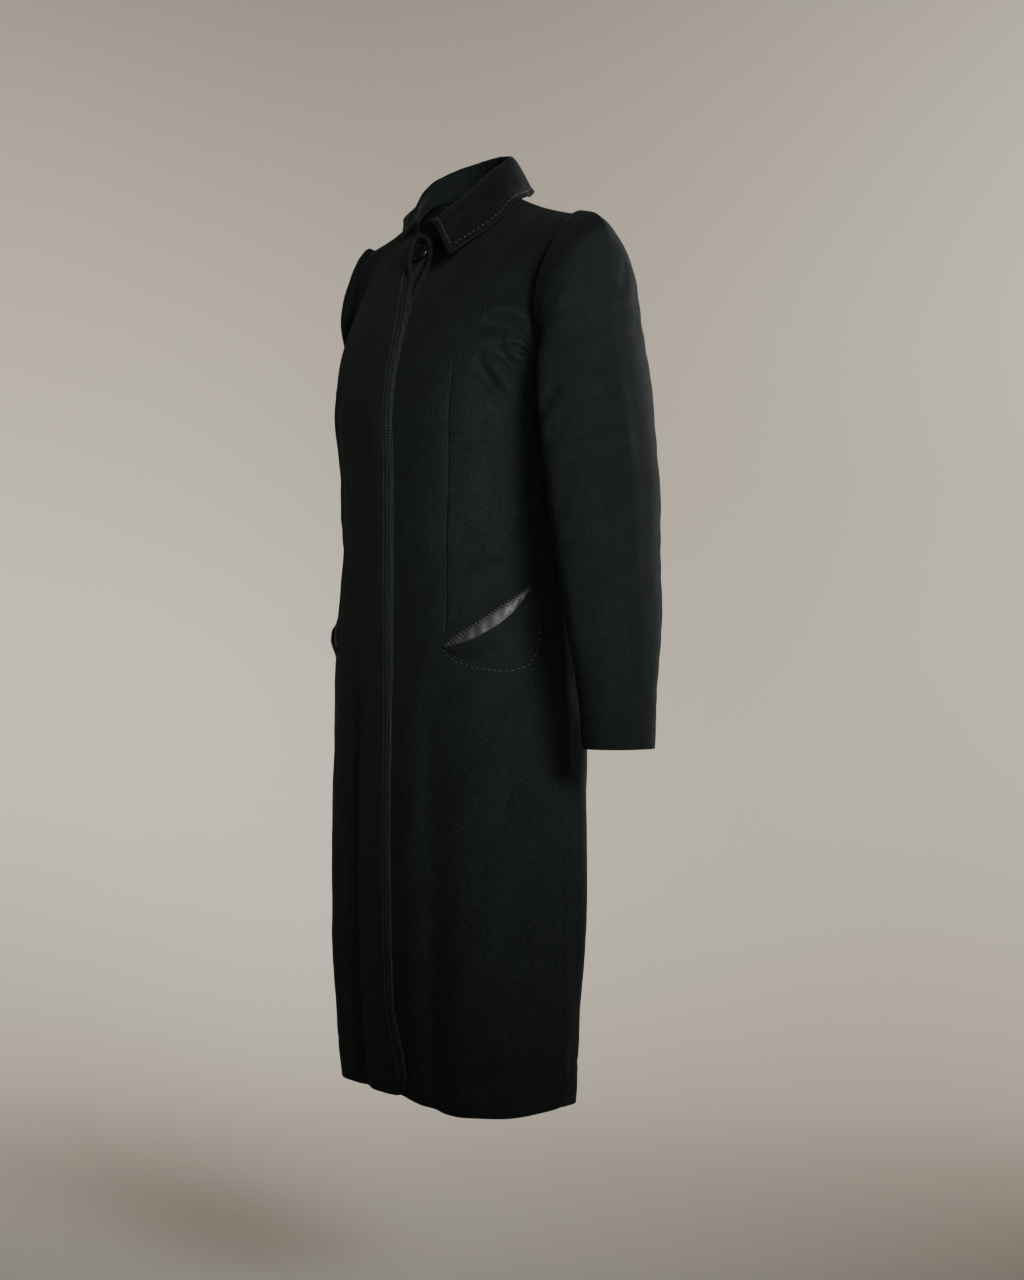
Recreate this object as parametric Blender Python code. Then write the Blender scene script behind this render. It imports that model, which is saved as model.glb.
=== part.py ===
"""A long fly-front wool coat with set-in sleeves and a turned-down collar, hollow and held at the shoulders.

Units are metres and +Z is up. The front faces -Y and the wearer's left is +X. The origin is between the
neck points of the shoulders. Every panel is worked out as its left-hand form, then mirrored where needed.
"""

from collections import namedtuple

import bpy
import numpy as np

# Cloth and seams
CLOTH = 0.0022
SEAM = 0.0003
UNDERARM_GAP = 0.0016
LEATHER = 0.0016
ON_TOP = 0.0008

# Body rings: height, half width, y at the front, side and back, and how square each quarter is
Ring = namedtuple("Ring", "z wide front side back full_front full_back")
BODY = [
    Ring(-1.015, 0.164, -0.127, -0.012, 0.110, 0.70, 0.26),
    Ring(-0.930, 0.169, -0.137, -0.014, 0.106, 0.66, 0.34),
    Ring(-0.840, 0.174, -0.141, -0.016, 0.101, 0.64, 0.44),
    Ring(-0.720, 0.179, -0.143, -0.020, 0.095, 0.62, 0.52),
    Ring(-0.600, 0.178, -0.141, -0.022, 0.087, 0.60, 0.55),
    Ring(-0.490, 0.167, -0.141, -0.020, 0.079, 0.60, 0.56),
    Ring(-0.400, 0.155, -0.140, -0.016, 0.068, 0.60, 0.58),
    Ring(-0.310, 0.160, -0.141, -0.010, 0.082, 0.62, 0.60),
    Ring(-0.255, 0.166, -0.143, -0.006, 0.092, 0.66, 0.62),
    Ring(-0.215, 0.169, -0.138, -0.002, 0.096, 0.66, 0.64),
]
Z_HEM = BODY[0].z
Z_ARMPIT = BODY[-1].z
QUARTER = 0.245

# Where the panels' points lie: shares across, and heights up to the armpit level
FRONT_COLUMNS = [0, 0.02, 0.055, 0.10, 0.16, 0.23, 0.31, 0.39, 0.47, 0.55, 0.63, 0.72, 0.81, 0.90, 1.0]
BACK_COLUMNS = [0, 0.04, 0.10, 0.17, 0.25, 0.34, 0.43, 0.52, 0.61, 0.71, 0.81, 0.90, 1.0]
PANEL_HEIGHTS = [-1.015, -1.004, -0.985, -0.950, -0.910, -0.870, -0.830, -0.785, -0.755, -0.739, -0.721]
PANEL_HEIGHTS += [-0.700, -0.680, -0.640, -0.600, -0.560, -0.520, -0.480, -0.440, -0.400, -0.360, -0.320]
PANEL_HEIGHTS += [-0.285, -0.250]

# Neck and shoulders
NECK_FRONT = np.array([0.0, -0.074, -0.058])
NECK_SIDE = np.array([0.060, -0.012, 0.002])
NECK_BACK = np.array([0.0, 0.042, 0.012])
SHOULDER = np.array([0.183, -0.013, -0.042])
SHOULDER_DIP = 0.005
SHOULDER_END = 0.9982
NECK_SHARE = 0.34
NECK_FRONT_WAY = np.array([0.034, 0.0, 0.003])
NECK_SIDE_FORE = np.array([0.004, -0.032, -0.014])
NECK_SIDE_HIND = np.array([-0.001, 0.024, 0.006])
NECK_BACK_WAY = np.array([0.030, 0.0, 0.0])

# Chest and upper back: how each row leaves the armpit level and how it reaches the neck and the shoulder
ARMHOLE_FROM = 0.45
ARMHOLE_POWER = 2.2
ARMHOLE_IN = -0.028
ARMHOLE_FORE = 0.27
ARMHOLE_HIND = 0.42
CHEST_FULL = 1.1
REACH_NECK_FRONT = np.array([0.0, 0.07, 0.12])
REACH_NECK_BACK = np.array([0.0, -0.05, 0.13])
REACH_SHOULDER_FRONT = np.array([0.0, 0.11, 0.06])
REACH_SHOULDER_BACK = np.array([0.0, -0.14, 0.03])
SHOULDER_SPREAD = np.array([0.03, 0.0, 0.0])

# Hem: how far it hangs below its level at each place, and its rounded corners
HEM_LEFT = 0.003
HEM_RIGHT = -0.012
HEM_SAG = 0.011
HEM_BACK = -0.014
HEM_REACH = 0.20
CORNER = 0.014

# Front closing: the right front laps over the left one, with a thick fly edge under it
LAP = 0.0225
LAP_TOP = -0.008
LAP_LEAN = 0.130
LAP_FOOT = 0.037
LAP_SWING_FROM = 0.90
LAP_REACH = 0.20
UNDER_FROM = 0.10
UNDER_REACH = 0.42
UNDER_LAP = 0.034
LIFT_OVER = 0.0040
SINK_UNDER = -0.0082
SINK_LOW = -0.0062
FLY_END = -0.566
FLY_EASE = 0.03
FLY_DEEP = 0.0082
FACING_DEEP = 0.0052
FLY_WIDE = 0.015
FLY_GAP = 0.0007
FLY_ROWS = np.concatenate([np.linspace(0.012, 1, 22), np.linspace(1.1, 1.66, 6), np.linspace(1.7, 1.96, 9)])
TAB = 0.016
TAB_HALF = 0.12
TOP_SINK = 0.0050
TOP_DEEP = 0.0040

# Back vent
VENT_TOP = -0.705
VENT_LAP = 0.034
VENT_SINK = -0.0034
VENT_KICK = 0.022
KICK_FROM = 0.80
KICK_HALF = 0.032

# Soft vertical folds of the skirt: share across the panel, depth, half width, top and foot height
Fold = namedtuple("Fold", "u deep half top foot")
FOLDS_LEFT_FRONT = [
    Fold(0.32, -0.0045, 0.055, -0.52, -0.66),
    Fold(0.48, 0.0030, 0.07, -0.60, -0.80),
]
FOLDS_RIGHT_FRONT = [Fold(0.20, -0.0050, 0.06, -0.50, -0.62), Fold(0.42, 0.0030, 0.08, -0.60, -0.80)]
FOLDS_LEFT_BACK = [Fold(0.62, -0.0045, 0.07, -0.66, -0.86), Fold(0.86, 0.0035, 0.06, -0.62, -0.84)]
FOLDS_RIGHT_BACK = [Fold(0.55, -0.0040, 0.07, -0.60, -0.82), Fold(0.84, 0.0030, 0.06, -0.62, -0.84)]

# Sleeves: rings down the arm, from the upper arm to the cuff
Arm = namedtuple("Arm", "z x y wide deep")
ARM_LEFT = [
    Arm(-0.262, 0.217, -0.008, 0.046, 0.073),
    Arm(-0.330, 0.231, -0.012, 0.050, 0.069),
    Arm(-0.400, 0.246, -0.018, 0.047, 0.064),
    Arm(-0.480, 0.260, -0.021, 0.042, 0.057),
    Arm(-0.560, 0.266, -0.021, 0.036, 0.048),
    Arm(-0.622, 0.268, -0.020, 0.033, 0.042),
]
ARM_RIGHT = [
    Arm(-0.262, 0.204, 0.027, 0.036, 0.062),
    Arm(-0.330, 0.214, 0.036, 0.042, 0.065),
    Arm(-0.400, 0.220, 0.042, 0.044, 0.061),
    Arm(-0.480, 0.226, 0.041, 0.042, 0.056),
    Arm(-0.560, 0.235, 0.043, 0.036, 0.048),
    Arm(-0.622, 0.241, 0.043, 0.033, 0.042),
]

# Sleeve head: how the cloth leaves the armhole and rises at the top, and how far the eased cloth puffs out
Cap = namedtuple("Cap", "out fore hind rise rise_top ease puff settle")
CAP_LEFT = Cap(0.034, 0.016, 0.012, -0.040, 0.212, 0.26, 0.034, -0.018)
CAP_RIGHT = Cap(0.032, -0.010, 0.040, -0.040, 0.090, 0.22, 0.006, 0.004)
PUFF_SHAPE = 9.48
FRONT_SEAM = 0.62
HIND_SEAM = 1.42

# Collar: share round the neck (0 front, 1 side, 2 back), then the fold line and the outer edge
Lapel = namedtuple("Lapel", "q fold edge")
COLLAR_LEFT = [
    Lapel(0.16, (0.012, -0.077, -0.037), (0.066, -0.088, -0.084)),
    Lapel(0.40, (0.028, -0.065, -0.024), (0.078, -0.076, -0.070)),
    Lapel(0.70, (0.044, -0.044, -0.003), (0.092, -0.062, -0.056)),
    Lapel(1.00, (0.051, -0.020, 0.020), (0.102, -0.034, -0.038)),
    Lapel(1.30, (0.046, 0.006, 0.036), (0.086, 0.008, -0.010)),
    Lapel(1.65, (0.028, 0.026, 0.046), (0.054, 0.038, 0.002)),
    Lapel(2.00, (0.000, 0.034, 0.050), (0.000, 0.056, 0.006)),
]
COLLAR_RIGHT = [
    Lapel(0.16, (0.010, -0.077, -0.036), (0.032, -0.084, -0.052)),
    Lapel(0.40, (0.028, -0.065, -0.024), (0.046, -0.074, -0.050)),
    Lapel(0.70, (0.044, -0.044, -0.003), (0.062, -0.056, -0.039)),
    Lapel(1.00, (0.051, -0.020, 0.020), (0.078, -0.028, -0.018)),
    Lapel(1.30, (0.046, 0.006, 0.036), (0.078, 0.008, -0.006)),
    Lapel(1.65, (0.028, 0.026, 0.046), (0.054, 0.038, 0.002)),
    Lapel(2.00, (0.000, 0.034, 0.050), (0.000, 0.056, 0.006)),
]
COLLAR_CLEAR = 0.0067
COLLAR_CLEAR_FRONT = 0.003
FOLD_SHARE = 0.42

# Pockets: the mouth's front and back ends as share across the front panel and height
POCKET_FRONT = (0.425, -0.513)
POCKET_BACK = (0.855, -0.449)
POCKET_BULGE = 0.016
LIP_WIDE = 0.012
LIP_OUT = 0.007

# Top button, on a tab of the fly that stands past the right front's edge
BUTTON_X = 0.0060
BUTTON_ROW = 1.870
BUTTON_GAP = 0.0004
BUTTON_R = 0.0115
BUTTON_THICK = 0.0036

MIRROR = np.array([-1.0, 1.0, 1.0])
FINE = np.linspace(0, 1, 49)


def smooth(x, lo, hi):
    """0 at lo, 1 at hi, with a soft start and end."""
    t = np.clip((np.asarray(x, float) - lo) / (hi - lo), 0, 1)
    return t * t * (3 - 2 * t)


def through(knots, values, x):
    """A smooth curve through the points (knots, values)."""
    knots = np.asarray(knots, float)
    values = np.asarray(values, float)
    x = np.asarray(x, float)
    step = np.diff(knots)
    rise = np.diff(values, axis=0) / (step if values.ndim == 1 else step[:, None])
    slope = np.empty_like(values)
    share = step[:-1] / (step[:-1] + step[1:])
    share = share if values.ndim == 1 else share[:, None]
    slope[1:-1] = rise[:-1] * (1 - share) + rise[1:] * share
    slope[0], slope[-1] = rise[0], rise[-1]
    i = np.clip(np.searchsorted(knots, x) - 1, 0, len(step) - 1)
    t = np.clip((x - knots[i]) / step[i], 0, 1)
    h = step[i]
    if values.ndim > 1:
        t, h = t[..., None], h[..., None]
    first = (2 * t**3 - 3 * t**2 + 1) * values[i] + (t**3 - 2 * t**2 + t) * h * slope[i]
    return first + (3 * t**2 - 2 * t**3) * values[i + 1] + (t**3 - t**2) * h * slope[i + 1]


def bezier(p0, p1, p2, p3, t):
    t = np.asarray(t, float)[..., None]
    return (1 - t) ** 3 * p0 + 3 * (1 - t) ** 2 * t * p1 + 3 * (1 - t) * t**2 * p2 + t**3 * p3


def hermite(p0, m0, p1, m1, t):
    first = (2 * t**3 - 3 * t**2 + 1) * p0 + (t**3 - 2 * t**2 + t) * m0
    return first + (3 * t**2 - 2 * t**3) * p1 + (t**3 - t**2) * m1


def even_share(curve, u):
    """Where along a polyline, as a share of its points, each share u of its length lies."""
    run = np.r_[0, np.cumsum(np.linalg.norm(np.diff(curve, axis=0), axis=1))]
    return np.interp(np.asarray(u) * run[-1], run, np.linspace(0, 1, len(curve)))


def ring_value(name, z):
    return through([r.z for r in BODY], [getattr(r, name) for r in BODY], z)


def quarter(back, u, z):
    """One row of body points from the centre (u 0) to the side seam (u 1); z may differ along the row."""
    z = np.broadcast_to(np.asarray(z, float), np.shape(u))
    wide, side = ring_value("wide", z), ring_value("side", z)
    end = ring_value("back" if back else "front", z)
    full = ring_value("full_back" if back else "full_front", z)
    p0 = np.stack([0 * z, end, z], -1)
    p1 = np.stack([full * wide, end, z], -1)
    p2 = np.stack([wide, side + full * (end - side), z], -1)
    p3 = np.stack([wide, side, z], -1)
    mid = len(z) // 2
    t = even_share(bezier(p0[mid], p1[mid], p2[mid], p3[mid], FINE), u)
    return bezier(p0, p1, p2, p3, t)


def neckline(q):
    """The neck edge: q 0 at the centre front, 1 at the shoulder, 2 at the centre back."""
    q = np.asarray(q, float)
    front = bezier(
        NECK_FRONT,
        NECK_FRONT + NECK_FRONT_WAY,
        NECK_SIDE + NECK_SIDE_FORE,
        NECK_SIDE,
        FINE,
    )
    back = bezier(
        NECK_SIDE,
        NECK_SIDE + NECK_SIDE_HIND,
        NECK_BACK + NECK_BACK_WAY,
        NECK_BACK,
        FINE,
    )
    whole = np.concatenate([front, back[1:]])
    at = np.where(q <= 1, even_share(front, np.clip(q, 0, 1)), 1 + even_share(back, np.clip(q - 1, 0, 1)))
    place = at * (len(FINE) - 1)
    return np.stack([np.interp(place, np.arange(len(whole)), whole[:, k]) for k in range(3)], -1)


def top_edge(back, u):
    """Neck edge, then shoulder seam, from the centre to the sleeve."""
    neck = neckline(2 - u / NECK_SHARE) if back else neckline(u / NECK_SHARE)
    t = np.clip((u - NECK_SHARE) / (1 - NECK_SHARE), 0, 1)[:, None]
    seam = NECK_SIDE * (1 - t) + SHOULDER * t - np.array([0, 0, SHOULDER_DIP]) * np.sin(np.pi * t)
    return np.where((u <= NECK_SHARE)[:, None], neck, seam)


def upper(back, u, r):
    """Chest or upper back for one row: r 0 at the armpit level and 1 at the top edge."""
    low = quarter(back, u, Z_ARMPIT)
    high = top_edge(back, u)
    lean = (low - quarter(back, u, Z_ARMPIT - 0.004)) / 0.004
    side = (np.clip((u - ARMHOLE_FROM) / (1 - ARMHOLE_FROM), 0, 1) ** ARMHOLE_POWER)[:, None]
    start = lean * ((high - low)[:, 2] * CHEST_FULL)[:, None] * (1 - side)
    start = start + np.array([ARMHOLE_IN, ARMHOLE_HIND if back else -ARMHOLE_FORE, 0.0]) * side
    over = smooth(u, NECK_SHARE * 0.2, NECK_SHARE * 1.05)[:, None]
    neck = REACH_NECK_BACK if back else REACH_NECK_FRONT
    shoulder = REACH_SHOULDER_BACK if back else REACH_SHOULDER_FRONT
    end = neck * (1 - over) + shoulder * over + SHOULDER_SPREAD * side
    return hermite(low, start, high, end, r)


def body_grid(back, u, v):
    """Points [rows, columns, 3] of a panel: v 0 at the hem, 1 at the armpit level, 2 at the top edge."""
    u = np.broadcast_to(np.asarray(u, float), (len(v), np.shape(u)[-1]))
    rows = []
    for uu, vv in zip(u, v):
        if vv <= 1:
            row = quarter(back, np.abs(uu), Z_HEM + (Z_ARMPIT - Z_HEM) * vv)
        else:
            row = upper(back, np.abs(uu), vv - 1)
        rows.append(np.where((uu < 0)[:, None], row * MIRROR, row))
    return np.array(rows)


def normals_of(grid, wraps=False):
    """Unit normals of a grid of points, from the neighbours of each."""
    if wraps:
        across = np.roll(grid, -1, 1) - np.roll(grid, 1, 1)
    else:
        across = np.gradient(grid, axis=1)
    up = np.gradient(grid, axis=0)
    n = np.cross(across, up)
    return n / np.maximum(np.linalg.norm(n, axis=-1, keepdims=True), 1e-12)


def z_of(v):
    return Z_HEM + (Z_ARMPIT - Z_HEM) * np.minimum(v, 1) + 0.16 * np.maximum(v - 1, 0)


def fold_lift(folds, u, z):
    lift = 0
    for f in folds:
        lift = lift + f.deep * smooth(-z, -f.top, -f.foot) * np.exp(-(((u - f.u) / f.half) ** 2))
    return lift


def hem_drop(side, back, u, from_edge):
    """How far the hem hangs below its level at each column, with the corner rounded at the centre edge."""
    seam = HEM_LEFT if side > 0 else HEM_RIGHT
    centre = HEM_BACK if back else 0.5 * (HEM_LEFT + HEM_RIGHT)
    drop = centre + (seam - centre) * smooth(np.abs(u), 0.0, 1.0)
    if side > 0 and not back:
        drop = drop + HEM_SAG * np.sin(np.pi * np.clip(u, 0, 1))
    near = np.clip(1 - from_edge / CORNER, 0, 1)
    return drop - CORNER * (1 - np.sqrt(1 - near**2)) * 0.9


def edge_share(side, back, v):
    """Where a panel's centre edge lies on each row, as a share of the quarter."""
    z = z_of(v)
    if not back and side < 0:
        lean = smooth(v, 1 + LAP_LEAN, 2)
        swing = smooth(-z, LAP_SWING_FROM, -Z_HEM)
        return -(LAP + (LAP_TOP - LAP) * lean + (LAP_FOOT - LAP) * swing) / QUARTER
    if not back:
        return np.full_like(v, -UNDER_LAP / QUARTER)
    if side < 0:
        gone = smooth(z, VENT_TOP - VENT_LAP, VENT_TOP - VENT_LAP / 2)
        return -VENT_LAP / QUARTER * (1 - gone) + SEAM / QUARTER * gone
    return np.full_like(v, SEAM / QUARTER)


def lift_of(side, back, u, v):
    """How far a panel lies outside the plain body form."""
    z = z_of(v)[:, None]
    if not back and side < 0:
        lift = LIFT_OVER * (1 - smooth(u, -0.06, LAP_REACH)) + fold_lift(FOLDS_RIGHT_FRONT, u, z)
    elif not back:
        sink = SINK_LOW + (SINK_UNDER - SINK_LOW) * smooth(z, FLY_END - FLY_EASE, FLY_END + FLY_EASE)
        sink = sink - TOP_SINK * smooth(v, 1.05, 1.6)[:, None]
        lift = sink * (1 - smooth(u, UNDER_FROM, UNDER_REACH)) + fold_lift(FOLDS_LEFT_FRONT, u, z)
    elif side > 0:
        lift = fold_lift(FOLDS_LEFT_BACK, u, z)
    else:
        deep = VENT_SINK * (1 - smooth(z, VENT_TOP - 0.012, VENT_TOP + 0.02))
        lift = deep * (1 - smooth(u, 0.02, 0.10)) + fold_lift(FOLDS_RIGHT_BACK, u, z)
    return lift


def surface(side, back, u, v):
    """Points and normals of a panel's outer face for rows v and shares u [rows, columns]."""
    edge = edge_share(side, back, v)[:, None]
    grid = body_grid(back, u, v)
    z = z_of(v)[:, None]
    drop = hem_drop(side, back, u, (u - edge) * QUARTER)
    grid[..., 2] -= drop * smooth(-z, -Z_HEM - HEM_REACH, -Z_HEM)
    if back:
        kick = VENT_KICK * smooth(-z, KICK_FROM, -Z_HEM) * np.exp(-((u * QUARTER / KICK_HALF) ** 2))
        grid[..., 1] += kick
    out = normals_of(grid) * (-1 if back else 1)
    grid = grid + out * lift_of(side, back, u, v)[..., None]
    return grid, normals_of(grid) * (-1 if back else 1)


def panel_grid(side, back, columns, v):
    """The outer face of a panel, in its left-hand form, with its normals and its shares across."""
    edge = edge_share(side, back, v)[:, None]
    u = edge + (1 - SEAM / QUARTER - edge) * columns[None, :]
    grid, out = surface(side, back, u, v)
    return grid, shared_normals(out, back, u, v), u


def place(side, back, u, v, off):
    """One point at share u and row v, moved out by off, and its normal; u may lie past the panel's edge."""
    step = 0.004
    near = np.array([-step, 0, step])
    grid, out = surface(side, back, np.tile(u + near, (3, 1)), v + near)
    return grid[1, 1] + out[1, 1] * off, out[1, 1]


def shared_normals(out, back, u, v):
    """Along the side and shoulder seams the two panels take one normal, so that their walls don't cross."""
    other = normals_of(body_grid(not back, u, v)) * (1 if back else -1)
    seam = (v <= 1)[:, None] & (np.arange(out.shape[1]) == out.shape[1] - 1)
    seam = seam | ((v >= v[-1])[:, None] & (u > NECK_SHARE))
    out = np.where(seam[..., None], out + other, out)
    if back:
        out[:, 0, 0] = 0
    return out / np.linalg.norm(out, axis=-1, keepdims=True)


def arm_ring(arm, z, psi):
    heights = [-a.z for a in arm]
    x, y, wide, deep = (through(heights, [getattr(a, k) for a in arm], -z) for k in Arm._fields[1:])
    return np.stack([x + wide * np.cos(psi), y + deep * np.sin(psi), np.full_like(psi, z)], -1)


def hole_point(psi):
    """The armhole edge: psi 0 at the shoulder, -pi at the armpit, down by the front and up by the back."""
    edge = np.array([1.0])
    points = []
    for share in -np.asarray(psi) / np.pi:
        back = share > 1
        points.append(upper(back, edge, share - 1 if back else 1 - share)[0])
    return np.array(points)


def sleeve_grid(arm, cap, psi, rows_cap, rows_arm):
    """Outer face of a sleeve from the armhole to the cuff, in its left-hand form."""
    hole = hole_point(psi)
    top = (1 + np.cos(psi)) / 2
    fore = np.sin(psi)
    hole = hole + UNDERARM_GAP * np.stack([1 + 0 * psi, 0.25 * fore, 0.4 * top - 0.2], -1)
    first = arm_ring(arm, arm[0].z, psi)
    down = (arm_ring(arm, arm[0].z - 0.003, psi) - first) / 0.003
    sway = cap.hind * np.maximum(fore, 0) + cap.fore * np.minimum(fore, 0)
    leave = np.stack([cap.out + 0 * top, sway, cap.rise + cap.rise_top * top], -1)
    puff = np.stack([cap.puff * top, 0 * top, cap.settle * top], -1) * PUFF_SHAPE
    arrive = down * (0.03 + cap.ease * top)[:, None]
    rows = [hermite(hole, leave, first, arrive, t) + puff * t * (1 - t) ** 3 for t in rows_cap]
    rows += [arm_ring(arm, z, psi) for z in rows_arm]
    return np.array(rows)


def collar_grid(table, q, w):
    """Middle face of the collar: rows round the neck, columns from the neck edge over the fold."""
    keys = [c.q for c in table]
    fold = through(keys, [c.fold for c in table], q)
    edge = through(keys, [c.edge for c in table], q)
    base = neckline(q) + np.array([0, 0, 0.0022])
    out = edge - fold
    out = out - out[:, 2:3] * np.array([0, 0, 1.0])
    out = out / np.maximum(np.linalg.norm(out, axis=1, keepdims=True), 1e-9)
    rise = np.linalg.norm(fold - base, axis=1, keepdims=True)
    fall = np.linalg.norm(edge - fold, axis=1, keepdims=True)
    up = np.array([0, 0, 1.0])
    grid = np.empty((len(q), len(w), 3))
    for k, ww in enumerate(w):
        if ww <= FOLD_SHARE:
            t = ww / FOLD_SHARE
            grid[:, k] = hermite(base, up * rise, fold, (up * 0.25 + out * 0.75) * rise * 0.55, t)
        else:
            t = (ww - FOLD_SHARE) / (1 - FOLD_SHARE)
            start = (up * 0.15 + out) * fall * 0.42
            grid[:, k] = hermite(fold, start, edge, (edge - fold) * 0.95 - up * fall * 0.1, t)
    falls = w > FOLD_SHARE + 0.05
    grid[:, falls] = clear_of_body(grid[:, falls], COLLAR_CLEAR)
    return grid


def clear_of_body(points, need):
    """Points of the left half moved out until they stand clear of the front, shoulder and back."""
    places, ways = [], []
    for back in (False, True):
        grid = body_grid(back, np.linspace(0, 1, 41), 1.25 + 0.75 * np.linspace(0, 1, 31))
        places.append(grid.reshape(-1, 3))
        ways.append((normals_of(grid) * (-1 if back else 1)).reshape(-1, 3))
    places, ways = np.concatenate(places), np.concatenate(ways)
    moved = np.array(points, float)
    for index in np.ndindex(moved.shape[:-1]):
        for _ in range(3):
            away = moved[index] - places
            near = np.argmin((away**2).sum(axis=1))
            rise = float(away[near] @ ways[near])
            x, y, _ = moved[index]
            lap = COLLAR_CLEAR_FRONT * np.exp(-((x / NECK_SIDE[0]) ** 2)) * (y < 0)
            if rise < need + lap:
                moved[index] = moved[index] + ways[near] * (need + lap - rise)
    return moved


def material(name, colour, rough, sheen=0.0):
    made = bpy.data.materials.new(name)
    made.use_nodes = True
    shader = made.node_tree.nodes["Principled BSDF"]
    shader.inputs["Base Color"].default_value = (*colour, 1)
    shader.inputs["Roughness"].default_value = rough
    shader.inputs["Sheen Weight"].default_value = sheen
    made.diffuse_color = (*colour, 1)
    return made


def add_mesh(name, points, faces, mat):
    """One closed body, turned to face out."""
    points = np.asarray(points, float)
    faces = np.asarray(faces, int)
    if np.linalg.det(points[faces] - points.mean(axis=0)).sum() < 0:
        faces = faces[:, ::-1]
    mesh = bpy.data.meshes.new(name)
    mesh.from_pydata(points.tolist(), [], faces.tolist())
    mesh.materials.append(mat)
    mesh.polygons.foreach_set("use_smooth", [True] * len(mesh.polygons))
    mesh.set_sharp_from_angle(angle=0.9)
    made = bpy.data.objects.new(name, mesh)
    bpy.context.scene.collection.objects.link(made)
    return made


def quads(a, b, c, d):
    """Two triangles for each four-sided face."""
    a, b, c, d = (np.ravel(i) for i in (a, b, c, d))
    return np.concatenate([np.stack([a, b, c], -1), np.stack([a, c, d], -1)])


def wall(name, outer, inner, mat):
    """A thin wall between two grids of points, closed round its rim."""
    rows, cols = outer.shape[:2]
    index = np.arange(rows * cols).reshape(rows, cols)
    deep = index + rows * cols
    o = index[:-1, :-1], index[:-1, 1:], index[1:, 1:], index[1:, :-1]
    i = deep[:-1, :-1], deep[:-1, 1:], deep[1:, 1:], deep[1:, :-1]
    rim = np.concatenate([index[0, :-1], index[:-1, -1], index[-1, :0:-1], index[:0:-1, 0]])
    after = np.roll(rim, -1)
    shift = rows * cols
    faces = [quads(*o), quads(*i)[:, ::-1], quads(after, rim, rim + shift, after + shift)]
    points = np.concatenate([outer.reshape(-1, 3), inner.reshape(-1, 3)])
    return add_mesh(name, points, np.concatenate(faces), mat)


def bar(name, sections, mat):
    """A solid bar through closed sections, with a flat fan at each end."""
    rows, cols = sections.shape[:2]
    index = np.arange(rows * cols).reshape(rows, cols)
    a, b = index, np.roll(index, -1, 1)
    faces = [quads(a[:-1], b[:-1], b[1:], a[1:])]
    first, last = rows * cols, rows * cols + 1
    faces.append(np.stack([np.full(cols, first), b[0], a[0]], -1))
    faces.append(np.stack([np.full(cols, last), a[-1], b[-1]], -1))
    ends = [sections[0].mean(axis=0), sections[-1].mean(axis=0)]
    return add_mesh(name, np.concatenate([sections.reshape(-1, 3), ends]), np.concatenate(faces), mat)


def on_panel(panel, u, v, off):
    """Points of a panel's outer face at shares u and heights v, moved out by off."""
    grid, out, shares, levels = panel
    points = []
    for uu, vv, oo in zip(u, v, off):
        i = int(np.clip(np.searchsorted(levels, vv) - 1, 0, len(levels) - 2))
        t = (vv - levels[i]) / (levels[i + 1] - levels[i])
        pair = []
        for row in (i, i + 1):
            where = [np.interp(uu, shares[row], grid[row, :, k]) for k in range(3)]
            way = [np.interp(uu, shares[row], out[row, :, k]) for k in range(3)]
            pair.append((np.array(where), np.array(way)))
        where = pair[0][0] * (1 - t) + pair[1][0] * t
        way = pair[0][1] * (1 - t) + pair[1][1] * t
        points.append(where + way / np.linalg.norm(way) * oo)
    return np.array(points)


def level(z):
    return (z - Z_HEM) / (Z_ARMPIT - Z_HEM)


def make_panels(mats):
    levels = np.concatenate([[level(z) for z in PANEL_HEIGHTS], 1 + SHOULDER_END * np.linspace(0, 1, 10)])
    panels = {}
    for side, side_name in ((1, "left"), (-1, "right")):
        for back, part_name in ((False, "front"), (True, "back")):
            name = f"{side_name}_{part_name}"
            columns = np.array(BACK_COLUMNS if back else FRONT_COLUMNS)
            grid, out, u = panel_grid(side, back, columns, levels)
            panels[name] = (grid, out, u, levels)
            flip = np.array([side, 1, 1])
            wall(name, grid * flip, (grid - out * CLOTH) * flip, mats["cloth"])
    return panels


def make_fly(mats):
    """The stack of cloth under the right front's edge: deep down to the fly's end, then the facing alone."""
    sections = []
    for v in FLY_ROWS:
        z = float(z_of(np.array(v)))
        edge = float(edge_share(-1, False, np.array([v]))[0])
        tab = TAB * np.exp(-(((v - BUTTON_ROW) / TAB_HALF) ** 2)) / QUARTER
        stack = float(smooth(z, FLY_END - 0.7 * FLY_EASE, FLY_END + 0.7 * FLY_EASE))
        deep = FACING_DEEP + (FLY_DEEP - FACING_DEEP) * stack
        deep = deep + TOP_DEEP * float(smooth(v, 1.15, 1.6))
        near = edge + 0.0004 / QUARTER
        far = edge + FLY_WIDE / QUARTER
        top = -(CLOTH + FLY_GAP)
        shares = [near + 0.004, far, far, near + 0.004, near - tab, near - tab]
        depths = [top, top, top - 0.35 * deep, top - deep, top - 0.85 * deep, top - 0.05 * deep]
        sections.append([place(-1, False, share, v, depth)[0] for share, depth in zip(shares, depths)])
    return bar("fly_band", np.array(sections) * MIRROR, mats["cloth"])


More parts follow.
